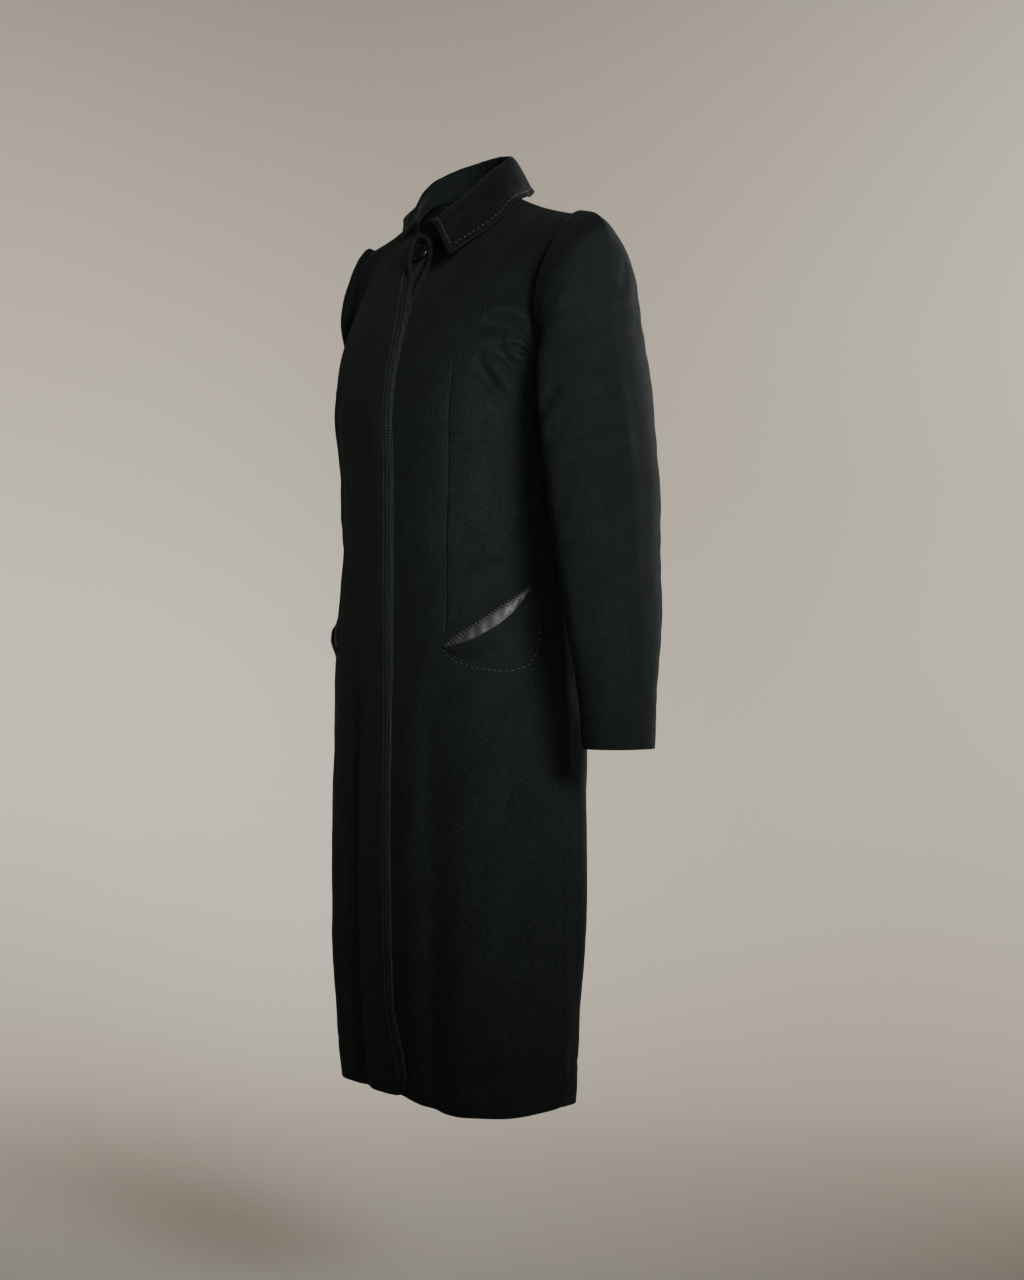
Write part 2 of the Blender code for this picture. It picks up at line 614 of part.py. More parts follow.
def make_sleeves(mats):
    rows = np.linspace(0, 1, 10)
    over, under = 17, 11
    psi = np.concatenate([
        np.linspace(HIND_SEAM, FRONT_SEAM + 2, over + 1)[:-1],
        np.linspace(FRONT_SEAM, HIND_SEAM, under + 1)[:-1],
    ])
    psi = -np.pi * np.where(psi > 2, psi - 2, psi)
    for side, side_name, arm, cap in ((1, "left", ARM_LEFT, CAP_LEFT), (-1, "right", ARM_RIGHT, CAP_RIGHT)):
        down = np.linspace(arm[0].z, arm[-1].z, 12)[1:]
        grid = sleeve_grid(arm, cap, psi, rows, down)
        out = normals_of(grid, wraps=True)
        flip = np.array([side, 1, 1])
        for part_name, first, last in (("upper", 0, over), ("under", over, over + under)):
            pick = np.arange(first, last + 1) % (over + under)
            piece = grid[:, pick]
            for edge, step in ((0, 1), (-1, -2)):
                along = piece[:, step] - piece[:, edge]
                piece[:, edge] += along / np.linalg.norm(along, axis=1, keepdims=True) * SEAM
            inner = piece - out[:, pick] * CLOTH
            wall(f"{side_name}_sleeve_{part_name}", piece * flip, inner * flip, mats["cloth"])


def make_collar(mats):
    q = np.linspace(COLLAR_LEFT[0].q, 2, 17)
    w = np.array([0.0, 0.12, 0.24, 0.34, 0.42, 0.49, 0.57, 0.68, 0.79, 0.90, 1.0])
    left, right = collar_grid(COLLAR_LEFT, q, w), collar_grid(COLLAR_RIGHT, q, w)
    whole = np.concatenate([left, (right * MIRROR)[-2::-1]])
    out = normals_of(whole)
    return wall("collar", whole + out * CLOTH / 2, whole - out * CLOTH / 2, mats["cloth"])


def pocket_line(t, below):
    """Share and level along the pocket's mouth, moved down by a distance at right angles to it."""
    u = POCKET_FRONT[0] + (POCKET_BACK[0] - POCKET_FRONT[0]) * t
    z = POCKET_FRONT[1] + (POCKET_BACK[1] - POCKET_FRONT[1]) * t
    run = np.array([(POCKET_BACK[0] - POCKET_FRONT[0]) * QUARTER, POCKET_BACK[1] - POCKET_FRONT[1]])
    run = run / np.linalg.norm(run)
    return u + below * run[1] / QUARTER, level(z - below * run[0])


def make_pockets(panels, mats):
    steps = np.linspace(0.0, 1.0, 13)
    bulge = POCKET_BULGE * np.maximum(np.sin(np.pi * steps) ** 0.7, 0.12)
    for side, side_name in ((1, "left"), (-1, "right")):
        panel = panels[f"{side_name}_front"]
        flip = np.array([side, 1, 1])
        sections = []
        for t, deep in zip(steps, bulge):
            belows = np.array([0.0, 0.5, 1.0]) * deep
            u, v = pocket_line(t, belows)
            low = on_panel(panel, u, v, [ON_TOP] * 3)
            high = on_panel(panel, u, v, [ON_TOP + LEATHER] * 3)
            sections.append(np.concatenate([low, high[::-1]]))
        bar(f"{side_name}_pocket_welt", np.array(sections) * flip, mats["leather"])
        sections = []
        for t, deep in zip(steps, bulge):
            stand = LIP_OUT * np.sin(np.pi * t) ** 0.8
            belows = deep + 0.0004 + np.array([0.0, LIP_WIDE, LIP_WIDE, 0.35 * LIP_WIDE, 0.0])
            u, v = pocket_line(t, belows)
            offs = [ON_TOP, ON_TOP, ON_TOP + 0.0012, ON_TOP + 0.0016 + 0.8 * stand, ON_TOP + 0.0012 + stand]
            sections.append(on_panel(panel, u, v, offs))
        bar(f"{side_name}_pocket_lip", np.array(sections) * flip, mats["cloth"])


def make_button(mats):
    """A round button with a raised rim, on the fly's tab beside the right front's edge."""
    turns = np.linspace(0, 2 * np.pi, 24, endpoint=False)
    profile = [(0.35, 0.0), (0.82, 0.0), (1.0, 0.35), (0.97, 0.8), (0.84, 1.0), (0.66, 0.78), (0.2, 0.62)]
    centre, facing = place(-1, False, -BUTTON_X / QUARTER, BUTTON_ROW, BUTTON_GAP - CLOTH - FLY_GAP)
    centre, facing = centre * MIRROR, facing * MIRROR
    across = np.cross([0, 0, 1.0], facing)
    across = across / np.linalg.norm(across)
    along = np.cross(facing, across)
    sections = []
    for radius, height in profile:
        ring = np.cos(turns)[:, None] * across + np.sin(turns)[:, None] * along
        sections.append(centre + ring * BUTTON_R * radius + facing * BUTTON_THICK * height)
    return bar("top_button", np.array(sections), mats["button"])


for old in list(bpy.data.objects):
    bpy.data.objects.remove(old)

MATERIALS = {
    "cloth": material("black_wool", (0.010, 0.013, 0.013), 0.9, 0.3),
    "leather": material("brown_leather", (0.045, 0.030, 0.024), 0.35),
    "button": material("black_horn", (0.008, 0.008, 0.008), 0.15),
}
PANELS = make_panels(MATERIALS)
make_fly(MATERIALS)
make_sleeves(MATERIALS)
make_collar(MATERIALS)
make_pockets(PANELS, MATERIALS)
make_button(MATERIALS)
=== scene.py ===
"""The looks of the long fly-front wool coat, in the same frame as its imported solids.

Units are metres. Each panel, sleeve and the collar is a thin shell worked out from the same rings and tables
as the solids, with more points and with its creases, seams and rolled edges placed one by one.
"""

from collections import namedtuple

import bpy
import numpy as np
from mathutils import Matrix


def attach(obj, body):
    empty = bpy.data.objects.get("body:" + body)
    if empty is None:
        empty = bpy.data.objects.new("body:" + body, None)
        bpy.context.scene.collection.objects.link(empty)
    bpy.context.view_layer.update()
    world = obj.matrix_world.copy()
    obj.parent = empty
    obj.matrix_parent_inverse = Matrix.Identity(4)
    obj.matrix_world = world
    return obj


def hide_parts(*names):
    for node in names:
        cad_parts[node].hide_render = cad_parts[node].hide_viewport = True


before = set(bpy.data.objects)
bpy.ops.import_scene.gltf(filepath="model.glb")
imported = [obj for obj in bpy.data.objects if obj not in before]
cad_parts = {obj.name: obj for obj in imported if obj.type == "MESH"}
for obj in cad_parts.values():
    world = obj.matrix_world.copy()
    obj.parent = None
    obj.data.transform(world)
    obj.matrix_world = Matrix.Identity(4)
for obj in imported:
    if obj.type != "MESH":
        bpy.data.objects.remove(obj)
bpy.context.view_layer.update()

# Cloth and seams
CLOTH = 0.0022
SEAM = 0.0003
UNDERARM_GAP = 0.0016

# Body rings: height, half width, y at the front, side and back, and how square each quarter is
Ring = namedtuple("Ring", "z wide front side back full_front full_back")
BODY = [
    Ring(-1.015, 0.164, -0.127, -0.012, 0.110, 0.70, 0.26),
    Ring(-0.930, 0.169, -0.137, -0.014, 0.106, 0.66, 0.34),
    Ring(-0.840, 0.174, -0.141, -0.016, 0.101, 0.64, 0.44),
    Ring(-0.720, 0.179, -0.143, -0.020, 0.095, 0.62, 0.52),
    Ring(-0.600, 0.178, -0.141, -0.022, 0.087, 0.60, 0.55),
    Ring(-0.490, 0.167, -0.141, -0.020, 0.079, 0.60, 0.56),
    Ring(-0.400, 0.155, -0.140, -0.016, 0.068, 0.60, 0.58),
    Ring(-0.310, 0.160, -0.141, -0.010, 0.082, 0.62, 0.60),
    Ring(-0.255, 0.166, -0.143, -0.006, 0.092, 0.66, 0.62),
    Ring(-0.215, 0.169, -0.138, -0.002, 0.096, 0.66, 0.64),
]
Z_HEM = BODY[0].z
Z_ARMPIT = BODY[-1].z
QUARTER = 0.245
UPPER_LONG = 0.16

# Neck and shoulders
NECK_FRONT = np.array([0.0, -0.074, -0.058])
NECK_SIDE = np.array([0.060, -0.012, 0.002])
NECK_BACK = np.array([0.0, 0.042, 0.012])
SHOULDER = np.array([0.183, -0.013, -0.042])
SHOULDER_DIP = 0.005
SHOULDER_END = 0.9982
NECK_SHARE = 0.34
NECK_FRONT_WAY = np.array([0.034, 0.0, 0.003])
NECK_SIDE_FORE = np.array([0.004, -0.032, -0.014])
NECK_SIDE_HIND = np.array([-0.001, 0.024, 0.006])
NECK_BACK_WAY = np.array([0.030, 0.0, 0.0])

# Chest and upper back: how each row leaves the armpit level and how it reaches the neck and the shoulder
ARMHOLE_FROM = 0.45
ARMHOLE_POWER = 2.2
ARMHOLE_IN = -0.028
ARMHOLE_FORE = 0.27
ARMHOLE_HIND = 0.42
CHEST_FULL = 1.1
REACH_NECK_FRONT = np.array([0.0, 0.07, 0.12])
REACH_NECK_BACK = np.array([0.0, -0.05, 0.13])
REACH_SHOULDER_FRONT = np.array([0.0, 0.11, 0.06])
REACH_SHOULDER_BACK = np.array([0.0, -0.14, 0.03])
SHOULDER_SPREAD = np.array([0.03, 0.0, 0.0])

# Hem: how far it hangs below its level at each place, and its rounded corners
HEM_LEFT = 0.003
HEM_RIGHT = -0.012
HEM_SAG = 0.011
HEM_BACK = -0.014
HEM_REACH = 0.20
CORNER = 0.014

# Front closing: the right front laps over the left one, with a thick fly edge under it
LAP = 0.0225
LAP_TOP = -0.008
LAP_LEAN = 0.130
LAP_FOOT = 0.037
LAP_SWING_FROM = 0.90
LAP_REACH = 0.20
UNDER_FROM = 0.10
UNDER_REACH = 0.42
UNDER_LAP = 0.034
LIFT_OVER = 0.0040
SINK_UNDER = -0.0082
SINK_LOW = -0.0062
FLY_END = -0.566
FLY_EASE = 0.03
FLY_DEEP = 0.0082
FACING_DEEP = 0.0052
FLY_WIDE = 0.015
FLY_GAP = 0.0007
TAB = 0.016
TAB_HALF = 0.12
TOP_SINK = 0.0050
TOP_DEEP = 0.0040

# Back vent
VENT_TOP = -0.705
VENT_LAP = 0.034
VENT_SINK = -0.0034
VENT_KICK = 0.022
KICK_FROM = 0.80
KICK_HALF = 0.032

# Soft vertical folds of the skirt: share across the panel, depth, half width, top and foot height
Fold = namedtuple("Fold", "u deep half top foot")
FOLDS_LEFT_FRONT = [
    Fold(0.32, -0.0045, 0.055, -0.52, -0.66),
    Fold(0.48, 0.0030, 0.07, -0.60, -0.80),
]
FOLDS_RIGHT_FRONT = [Fold(0.20, -0.0050, 0.06, -0.50, -0.62), Fold(0.42, 0.0030, 0.08, -0.60, -0.80)]
FOLDS_LEFT_BACK = [Fold(0.62, -0.0045, 0.07, -0.66, -0.86), Fold(0.86, 0.0035, 0.06, -0.62, -0.84)]
FOLDS_RIGHT_BACK = [Fold(0.55, -0.0040, 0.07, -0.60, -0.82), Fold(0.84, 0.0030, 0.06, -0.62, -0.84)]

# Sleeves: rings down the arm, from the upper arm to the cuff
Arm = namedtuple("Arm", "z x y wide deep")
ARM_LEFT = [
    Arm(-0.262, 0.217, -0.008, 0.046, 0.073),
    Arm(-0.330, 0.231, -0.012, 0.050, 0.069),
    Arm(-0.400, 0.246, -0.018, 0.047, 0.064),
    Arm(-0.480, 0.260, -0.021, 0.042, 0.057),
    Arm(-0.560, 0.266, -0.021, 0.036, 0.048),
    Arm(-0.622, 0.268, -0.020, 0.033, 0.042),
]
ARM_RIGHT = [
    Arm(-0.262, 0.204, 0.027, 0.036, 0.062),
    Arm(-0.330, 0.214, 0.036, 0.042, 0.065),
    Arm(-0.400, 0.220, 0.042, 0.044, 0.061),
    Arm(-0.480, 0.226, 0.041, 0.042, 0.056),
    Arm(-0.560, 0.235, 0.043, 0.036, 0.048),
    Arm(-0.622, 0.241, 0.043, 0.033, 0.042),
]

# Sleeve head: how the cloth leaves the armhole and rises at the top, and how far the eased cloth puffs out
Cap = namedtuple("Cap", "out fore hind rise rise_top ease puff settle")
CAP_LEFT = Cap(0.034, 0.016, 0.012, -0.040, 0.212, 0.26, 0.034, -0.018)
CAP_RIGHT = Cap(0.032, -0.010, 0.040, -0.040, 0.090, 0.22, 0.006, 0.004)
PUFF_SHAPE = 9.48
FRONT_SEAM = 0.62
HIND_SEAM = 1.42

# Collar: share round the neck (0 front, 1 side, 2 back), then the fold line and the outer edge
Lapel = namedtuple("Lapel", "q fold edge")
COLLAR_LEFT = [
    Lapel(0.16, (0.012, -0.077, -0.037), (0.066, -0.088, -0.084)),
    Lapel(0.40, (0.028, -0.065, -0.024), (0.078, -0.076, -0.070)),
    Lapel(0.70, (0.044, -0.044, -0.003), (0.092, -0.062, -0.056)),
    Lapel(1.00, (0.051, -0.020, 0.020), (0.102, -0.034, -0.038)),
    Lapel(1.30, (0.046, 0.006, 0.036), (0.086, 0.008, -0.010)),
    Lapel(1.65, (0.028, 0.026, 0.046), (0.054, 0.038, 0.002)),
    Lapel(2.00, (0.000, 0.034, 0.050), (0.000, 0.056, 0.006)),
]
COLLAR_RIGHT = [
    Lapel(0.16, (0.010, -0.077, -0.036), (0.029, -0.084, -0.0515)),
    Lapel(0.40, (0.028, -0.0655, -0.0235), (0.040, -0.073, -0.0460)),
    Lapel(0.70, (0.0455, -0.0455, -0.0015), (0.0555, -0.0530, -0.0320)),
    Lapel(1.00, (0.0540, -0.0210, 0.0210), (0.0695, -0.0258, -0.0114)),
    Lapel(1.30, (0.0485, 0.0060, 0.0365), (0.0745, 0.0080, -0.0036)),
    Lapel(1.65, (0.028, 0.026, 0.046), (0.054, 0.038, 0.002)),
    Lapel(2.00, (0.000, 0.034, 0.050), (0.000, 0.056, 0.006)),
]
COLLAR_CLEAR = 0.0067
COLLAR_CLEAR_FRONT = 0.003
FOLD_SHARE = 0.42

# Pockets: the mouth's front and back ends as share across the front panel and height
POCKET_FRONT = (0.425, -0.513)
POCKET_BACK = (0.855, -0.449)
POCKET_BULGE = 0.016
LIP_WIDE = 0.012
LIP_OUT = 0.007

# Top button, on a tab of the fly that stands past the right front's edge
BUTTON_X = 0.0060
BUTTON_ROW = 1.870
BUTTON_GAP = 0.0004
BUTTON_R = 0.0115
BUTTON_THICK = 0.0036

MIRROR = np.array([-1.0, 1.0, 1.0])
FINE = np.linspace(0, 1, 49)


def smooth(x, lo, hi):
    """0 at lo, 1 at hi, with a soft start and end."""
    t = np.clip((np.asarray(x, float) - lo) / (hi - lo), 0, 1)
    return t * t * (3 - 2 * t)


def through(knots, values, x):
    """A smooth curve through the points (knots, values)."""
    knots = np.asarray(knots, float)
    values = np.asarray(values, float)
    x = np.asarray(x, float)
    step = np.diff(knots)
    rise = np.diff(values, axis=0) / (step if values.ndim == 1 else step[:, None])
    slope = np.empty_like(values)
    share = step[:-1] / (step[:-1] + step[1:])
    share = share if values.ndim == 1 else share[:, None]
    slope[1:-1] = rise[:-1] * (1 - share) + rise[1:] * share
    slope[0], slope[-1] = rise[0], rise[-1]
    i = np.clip(np.searchsorted(knots, x) - 1, 0, len(step) - 1)
    t = np.clip((x - knots[i]) / step[i], 0, 1)
    h = step[i]
    if values.ndim > 1:
        t, h = t[..., None], h[..., None]
    first = (2 * t**3 - 3 * t**2 + 1) * values[i] + (t**3 - 2 * t**2 + t) * h * slope[i]
    return first + (3 * t**2 - 2 * t**3) * values[i + 1] + (t**3 - t**2) * h * slope[i + 1]


def bezier(p0, p1, p2, p3, t):
    t = np.asarray(t, float)[..., None]
    return (1 - t) ** 3 * p0 + 3 * (1 - t) ** 2 * t * p1 + 3 * (1 - t) * t**2 * p2 + t**3 * p3


def hermite(p0, m0, p1, m1, t):
    first = (2 * t**3 - 3 * t**2 + 1) * p0 + (t**3 - 2 * t**2 + t) * m0
    return first + (3 * t**2 - 2 * t**3) * p1 + (t**3 - t**2) * m1


def even_share(curve, u):
    """Where along a polyline, as a share of its points, each share u of its length lies."""
    run = np.r_[0, np.cumsum(np.linalg.norm(np.diff(curve, axis=0), axis=1))]
    return np.interp(np.asarray(u) * run[-1], run, np.linspace(0, 1, len(curve)))


def ring_value(name, z):
    return through([r.z for r in BODY], [getattr(r, name) for r in BODY], z)


def quarter(back, u, z):
    """One row of body points from the centre (u 0) to the side seam (u 1); z may differ along the row."""
    z = np.broadcast_to(np.asarray(z, float), np.shape(u))
    wide, side = ring_value("wide", z), ring_value("side", z)
    end = ring_value("back" if back else "front", z)
    full = ring_value("full_back" if back else "full_front", z)
    p0 = np.stack([0 * z, end, z], -1)
    p1 = np.stack([full * wide, end, z], -1)
    p2 = np.stack([wide, side + full * (end - side), z], -1)
    p3 = np.stack([wide, side, z], -1)
    mid = len(z) // 2
    t = even_share(bezier(p0[mid], p1[mid], p2[mid], p3[mid], FINE), u)
    return bezier(p0, p1, p2, p3, t)


def neckline(q):
    """The neck edge: q 0 at the centre front, 1 at the shoulder, 2 at the centre back."""
    q = np.asarray(q, float)
    front = bezier(
        NECK_FRONT,
        NECK_FRONT + NECK_FRONT_WAY,
        NECK_SIDE + NECK_SIDE_FORE,
        NECK_SIDE,
        FINE,
    )
    back = bezier(
        NECK_SIDE,
        NECK_SIDE + NECK_SIDE_HIND,
        NECK_BACK + NECK_BACK_WAY,
        NECK_BACK,
        FINE,
    )
    whole = np.concatenate([front, back[1:]])
    at = np.where(q <= 1, even_share(front, np.clip(q, 0, 1)), 1 + even_share(back, np.clip(q - 1, 0, 1)))
    place = at * (len(FINE) - 1)
    return np.stack([np.interp(place, np.arange(len(whole)), whole[:, k]) for k in range(3)], -1)


def top_edge(back, u):
    """Neck edge, then shoulder seam, from the centre to the sleeve."""
    neck = neckline(2 - u / NECK_SHARE) if back else neckline(u / NECK_SHARE)
    t = np.clip((u - NECK_SHARE) / (1 - NECK_SHARE), 0, 1)[:, None]
    seam = NECK_SIDE * (1 - t) + SHOULDER * t - np.array([0, 0, SHOULDER_DIP]) * np.sin(np.pi * t)
    return np.where((u <= NECK_SHARE)[:, None], neck, seam)


def upper(back, u, r):
    """Chest or upper back for one row: r 0 at the armpit level and 1 at the top edge."""
    low = quarter(back, u, Z_ARMPIT)
    high = top_edge(back, u)
    lean = (low - quarter(back, u, Z_ARMPIT - 0.004)) / 0.004
    side = (np.clip((u - ARMHOLE_FROM) / (1 - ARMHOLE_FROM), 0, 1) ** ARMHOLE_POWER)[:, None]
    start = lean * ((high - low)[:, 2] * CHEST_FULL)[:, None] * (1 - side)
    start = start + np.array([ARMHOLE_IN, ARMHOLE_HIND if back else -ARMHOLE_FORE, 0.0]) * side
    over = smooth(u, NECK_SHARE * 0.2, NECK_SHARE * 1.05)[:, None]
    neck = REACH_NECK_BACK if back else REACH_NECK_FRONT
    shoulder = REACH_SHOULDER_BACK if back else REACH_SHOULDER_FRONT
    end = neck * (1 - over) + shoulder * over + SHOULDER_SPREAD * side
    return hermite(low, start, high, end, r)


def body_grid(back, u, v):
    """Points [rows, columns, 3] of a panel: v 0 at the hem, 1 at the armpit level, 2 at the top edge."""
    u = np.broadcast_to(np.asarray(u, float), (len(v), np.shape(u)[-1]))
    rows = []
    for uu, vv in zip(u, v):
        if vv <= 1:
            row = quarter(back, np.abs(uu), Z_HEM + (Z_ARMPIT - Z_HEM) * vv)
        else:
            row = upper(back, np.abs(uu), vv - 1)
        rows.append(np.where((uu < 0)[:, None], row * MIRROR, row))
    return np.array(rows)


def normals_of(grid, wraps=False):
    """Unit normals of a grid of points, from the neighbours of each."""
    if wraps:
        across = np.roll(grid, -1, 1) - np.roll(grid, 1, 1)
    else:
        across = np.gradient(grid, axis=1)
    up = np.gradient(grid, axis=0)
    n = np.cross(across, up)
    return n / np.maximum(np.linalg.norm(n, axis=-1, keepdims=True), 1e-12)


def z_of(v):
    return Z_HEM + (Z_ARMPIT - Z_HEM) * np.minimum(v, 1) + UPPER_LONG * np.maximum(v - 1, 0)


def fold_lift(folds, u, z):
    lift = 0
    for f in folds:
        lift = lift + f.deep * smooth(-z, -f.top, -f.foot) * np.exp(-(((u - f.u) / f.half) ** 2))
    return lift


def hem_drop(side, back, u, from_edge):
    """How far the hem hangs below its level at each column, with the corner rounded at the centre edge."""
    seam = HEM_LEFT if side > 0 else HEM_RIGHT
    centre = HEM_BACK if back else 0.5 * (HEM_LEFT + HEM_RIGHT)
    drop = centre + (seam - centre) * smooth(np.abs(u), 0.0, 1.0)
    if side > 0 and not back:
        drop = drop + HEM_SAG * np.sin(np.pi * np.clip(u, 0, 1))
    near = np.clip(1 - from_edge / CORNER, 0, 1)
    return drop - CORNER * (1 - np.sqrt(1 - near**2)) * 0.9


def edge_share(side, back, v):
    """Where a panel's centre edge lies on each row, as a share of the quarter."""
    z = z_of(v)
    if not back and side < 0:
        lean = smooth(v, 1 + LAP_LEAN, 2)
        swing = smooth(-z, LAP_SWING_FROM, -Z_HEM)
        return -(LAP + (LAP_TOP - LAP) * lean + (LAP_FOOT - LAP) * swing) / QUARTER
    if not back:
        return np.full_like(v, -UNDER_LAP / QUARTER)
    if side < 0:
        gone = smooth(z, VENT_TOP - VENT_LAP, VENT_TOP - VENT_LAP / 2)
        return -VENT_LAP / QUARTER * (1 - gone) + SEAM / QUARTER * gone
    return np.full_like(v, SEAM / QUARTER)


def lift_of(side, back, u, v):
    """How far a panel lies outside the plain body form."""
    z = z_of(v)[:, None]
    if not back and side < 0:
        lift = LIFT_OVER * (1 - smooth(u, -0.06, LAP_REACH)) + fold_lift(FOLDS_RIGHT_FRONT, u, z)
    elif not back:
        sink = SINK_LOW + (SINK_UNDER - SINK_LOW) * smooth(z, FLY_END - FLY_EASE, FLY_END + FLY_EASE)
        sink = sink - TOP_SINK * smooth(v, 1.05, 1.6)[:, None]
        lift = sink * (1 - smooth(u, UNDER_FROM, UNDER_REACH)) + fold_lift(FOLDS_LEFT_FRONT, u, z)
    elif side > 0:
        lift = fold_lift(FOLDS_LEFT_BACK, u, z)
    else:
        deep = VENT_SINK * (1 - smooth(z, VENT_TOP - 0.012, VENT_TOP + 0.02))
        lift = deep * (1 - smooth(u, 0.02, 0.10)) + fold_lift(FOLDS_RIGHT_BACK, u, z)
    return lift


def surface(side, back, u, v):
    """Points and normals of a panel's outer face for rows v and shares u [rows, columns]."""
    edge = edge_share(side, back, v)[:, None]
    grid = body_grid(back, u, v)
    z = z_of(v)[:, None]
    drop = hem_drop(side, back, u, (u - edge) * QUARTER)
    grid[..., 2] -= drop * smooth(-z, -Z_HEM - HEM_REACH, -Z_HEM)
    if back:
        kick = VENT_KICK * smooth(-z, KICK_FROM, -Z_HEM) * np.exp(-((u * QUARTER / KICK_HALF) ** 2))
        grid[..., 1] += kick
    out = normals_of(grid) * (-1 if back else 1)
    grid = grid + out * lift_of(side, back, u, v)[..., None]
    return grid, normals_of(grid) * (-1 if back else 1)


def place(side, back, u, v, off):
    """One point at share u and row v, moved out by off, and its normal; u may lie past the panel's edge."""
    step = 0.004
    near = np.array([-step, 0, step])
    grid, out = surface(side, back, np.tile(u + near, (3, 1)), v + near)
    return grid[1, 1] + out[1, 1] * off, out[1, 1]


def shared_normals(out, back, u, v):
    """Along the side and shoulder seams the two panels take one normal, so that their walls don't cross."""
    other = normals_of(body_grid(not back, u, v)) * (1 if back else -1)
    seam = (v <= 1)[:, None] & (np.arange(out.shape[1]) == out.shape[1] - 1)
    seam = seam | ((v >= v[-1])[:, None] & (u > NECK_SHARE))
    out = np.where(seam[..., None], out + other, out)
    if back:
        out[:, 0, 0] = 0
    return out / np.linalg.norm(out, axis=-1, keepdims=True)


def arm_ring(arm, z, psi):
    heights = [-a.z for a in arm]
    x, y, wide, deep = (through(heights, [getattr(a, k) for a in arm], -z) for k in Arm._fields[1:])
    return np.stack([x + wide * np.cos(psi), y + deep * np.sin(psi), np.full_like(psi, z)], -1)


def hole_point(psi):
    """The armhole edge: psi 0 at the shoulder, -pi at the armpit, down by the front and up by the back."""
    edge = np.array([1.0])
    points = []
    for share in -np.asarray(psi) / np.pi:
        back = share > 1
        points.append(upper(back, edge, share - 1 if back else 1 - share)[0])
    return np.array(points)


def sleeve_grid(arm, cap, psi, rows_cap, rows_arm):
    """Outer face of a sleeve from the armhole to the cuff, in its left-hand form."""
    hole = hole_point(psi)
    top = (1 + np.cos(psi)) / 2
    fore = np.sin(psi)
    hole = hole + UNDERARM_GAP * np.stack([1 + 0 * psi, 0.25 * fore, 0.4 * top - 0.2], -1)
    first = arm_ring(arm, arm[0].z, psi)
    down = (arm_ring(arm, arm[0].z - 0.003, psi) - first) / 0.003
    sway = cap.hind * np.maximum(fore, 0) + cap.fore * np.minimum(fore, 0)
    leave = np.stack([cap.out + 0 * top, sway, cap.rise + cap.rise_top * top], -1)
    puff = np.stack([cap.puff * top, 0 * top, cap.settle * top], -1) * PUFF_SHAPE
    arrive = down * (0.03 + cap.ease * top)[:, None]
    rows = [hermite(hole, leave, first, arrive, t) + puff * t * (1 - t) ** 3 for t in rows_cap]
    rows += [arm_ring(arm, z, psi) for z in rows_arm]
    return np.array(rows)


def collar_grid(table, q, w):
    """Middle face of the collar: rows round the neck, columns from the neck edge over the fold."""
    keys = [c.q for c in table]
    fold = through(keys, [c.fold for c in table], q)
    edge = through(keys, [c.edge for c in table], q)
    base = neckline(q) + np.array([0, 0, 0.0022])
    out = edge - fold
    out = out - out[:, 2:3] * np.array([0, 0, 1.0])
    out = out / np.maximum(np.linalg.norm(out, axis=1, keepdims=True), 1e-9)
    rise = np.linalg.norm(fold - base, axis=1, keepdims=True)
    fall = np.linalg.norm(edge - fold, axis=1, keepdims=True)
    up = np.array([0, 0, 1.0])
    grid = np.empty((len(q), len(w), 3))
    for k, ww in enumerate(w):
        if ww <= FOLD_SHARE:
            t = ww / FOLD_SHARE
            grid[:, k] = hermite(base, up * rise, fold, (up * 0.25 + out * 0.75) * rise * 0.55, t)
        else:
            t = (ww - FOLD_SHARE) / (1 - FOLD_SHARE)
            start = (up * 0.15 + out) * fall * 0.42
            grid[:, k] = hermite(fold, start, edge, (edge - fold) * 0.95 - up * fall * 0.1, t)
    falls = w > FOLD_SHARE + 0.05
    grid[:, falls] = clear_of_body(grid[:, falls], COLLAR_CLEAR)
    return grid


def clear_of_body(points, need):
    """Points of the left half moved out until they stand clear of the front, shoulder and back."""
    places, ways = [], []
    for back in (False, True):
        grid = body_grid(back, np.linspace(0, 1, 41), 1.25 + 0.75 * np.linspace(0, 1, 31))
        places.append(grid.reshape(-1, 3))
        ways.append((normals_of(grid) * (-1 if back else 1)).reshape(-1, 3))
    places, ways = np.concatenate(places), np.concatenate(ways)
    moved = np.array(points, float)
    for index in np.ndindex(moved.shape[:-1]):
        for _ in range(3):
            away = moved[index] - places
            near = np.argmin((away**2).sum(axis=1))
            rise = float(away[near] @ ways[near])
            x, y, _ = moved[index]
            lap = COLLAR_CLEAR_FRONT * np.exp(-((x / NECK_SIDE[0]) ** 2)) * (y < 0)
            if rise < need + lap:
                moved[index] = moved[index] + ways[near] * (need + lap - rise)
    return moved


# The camera's turn, distance, sideways place and height
SIN, COS, FAR, ASIDE, EYE = 0.7716, 0.6361, 2.95, 0.041, -0.5065

# Looks of the cloth: how deep and how wide each crease is, and its path of (distance from the centre
# line, height) on a panel
Crease = namedtuple("Crease", "deep half path")
EDGE_ROUND = 0.0012

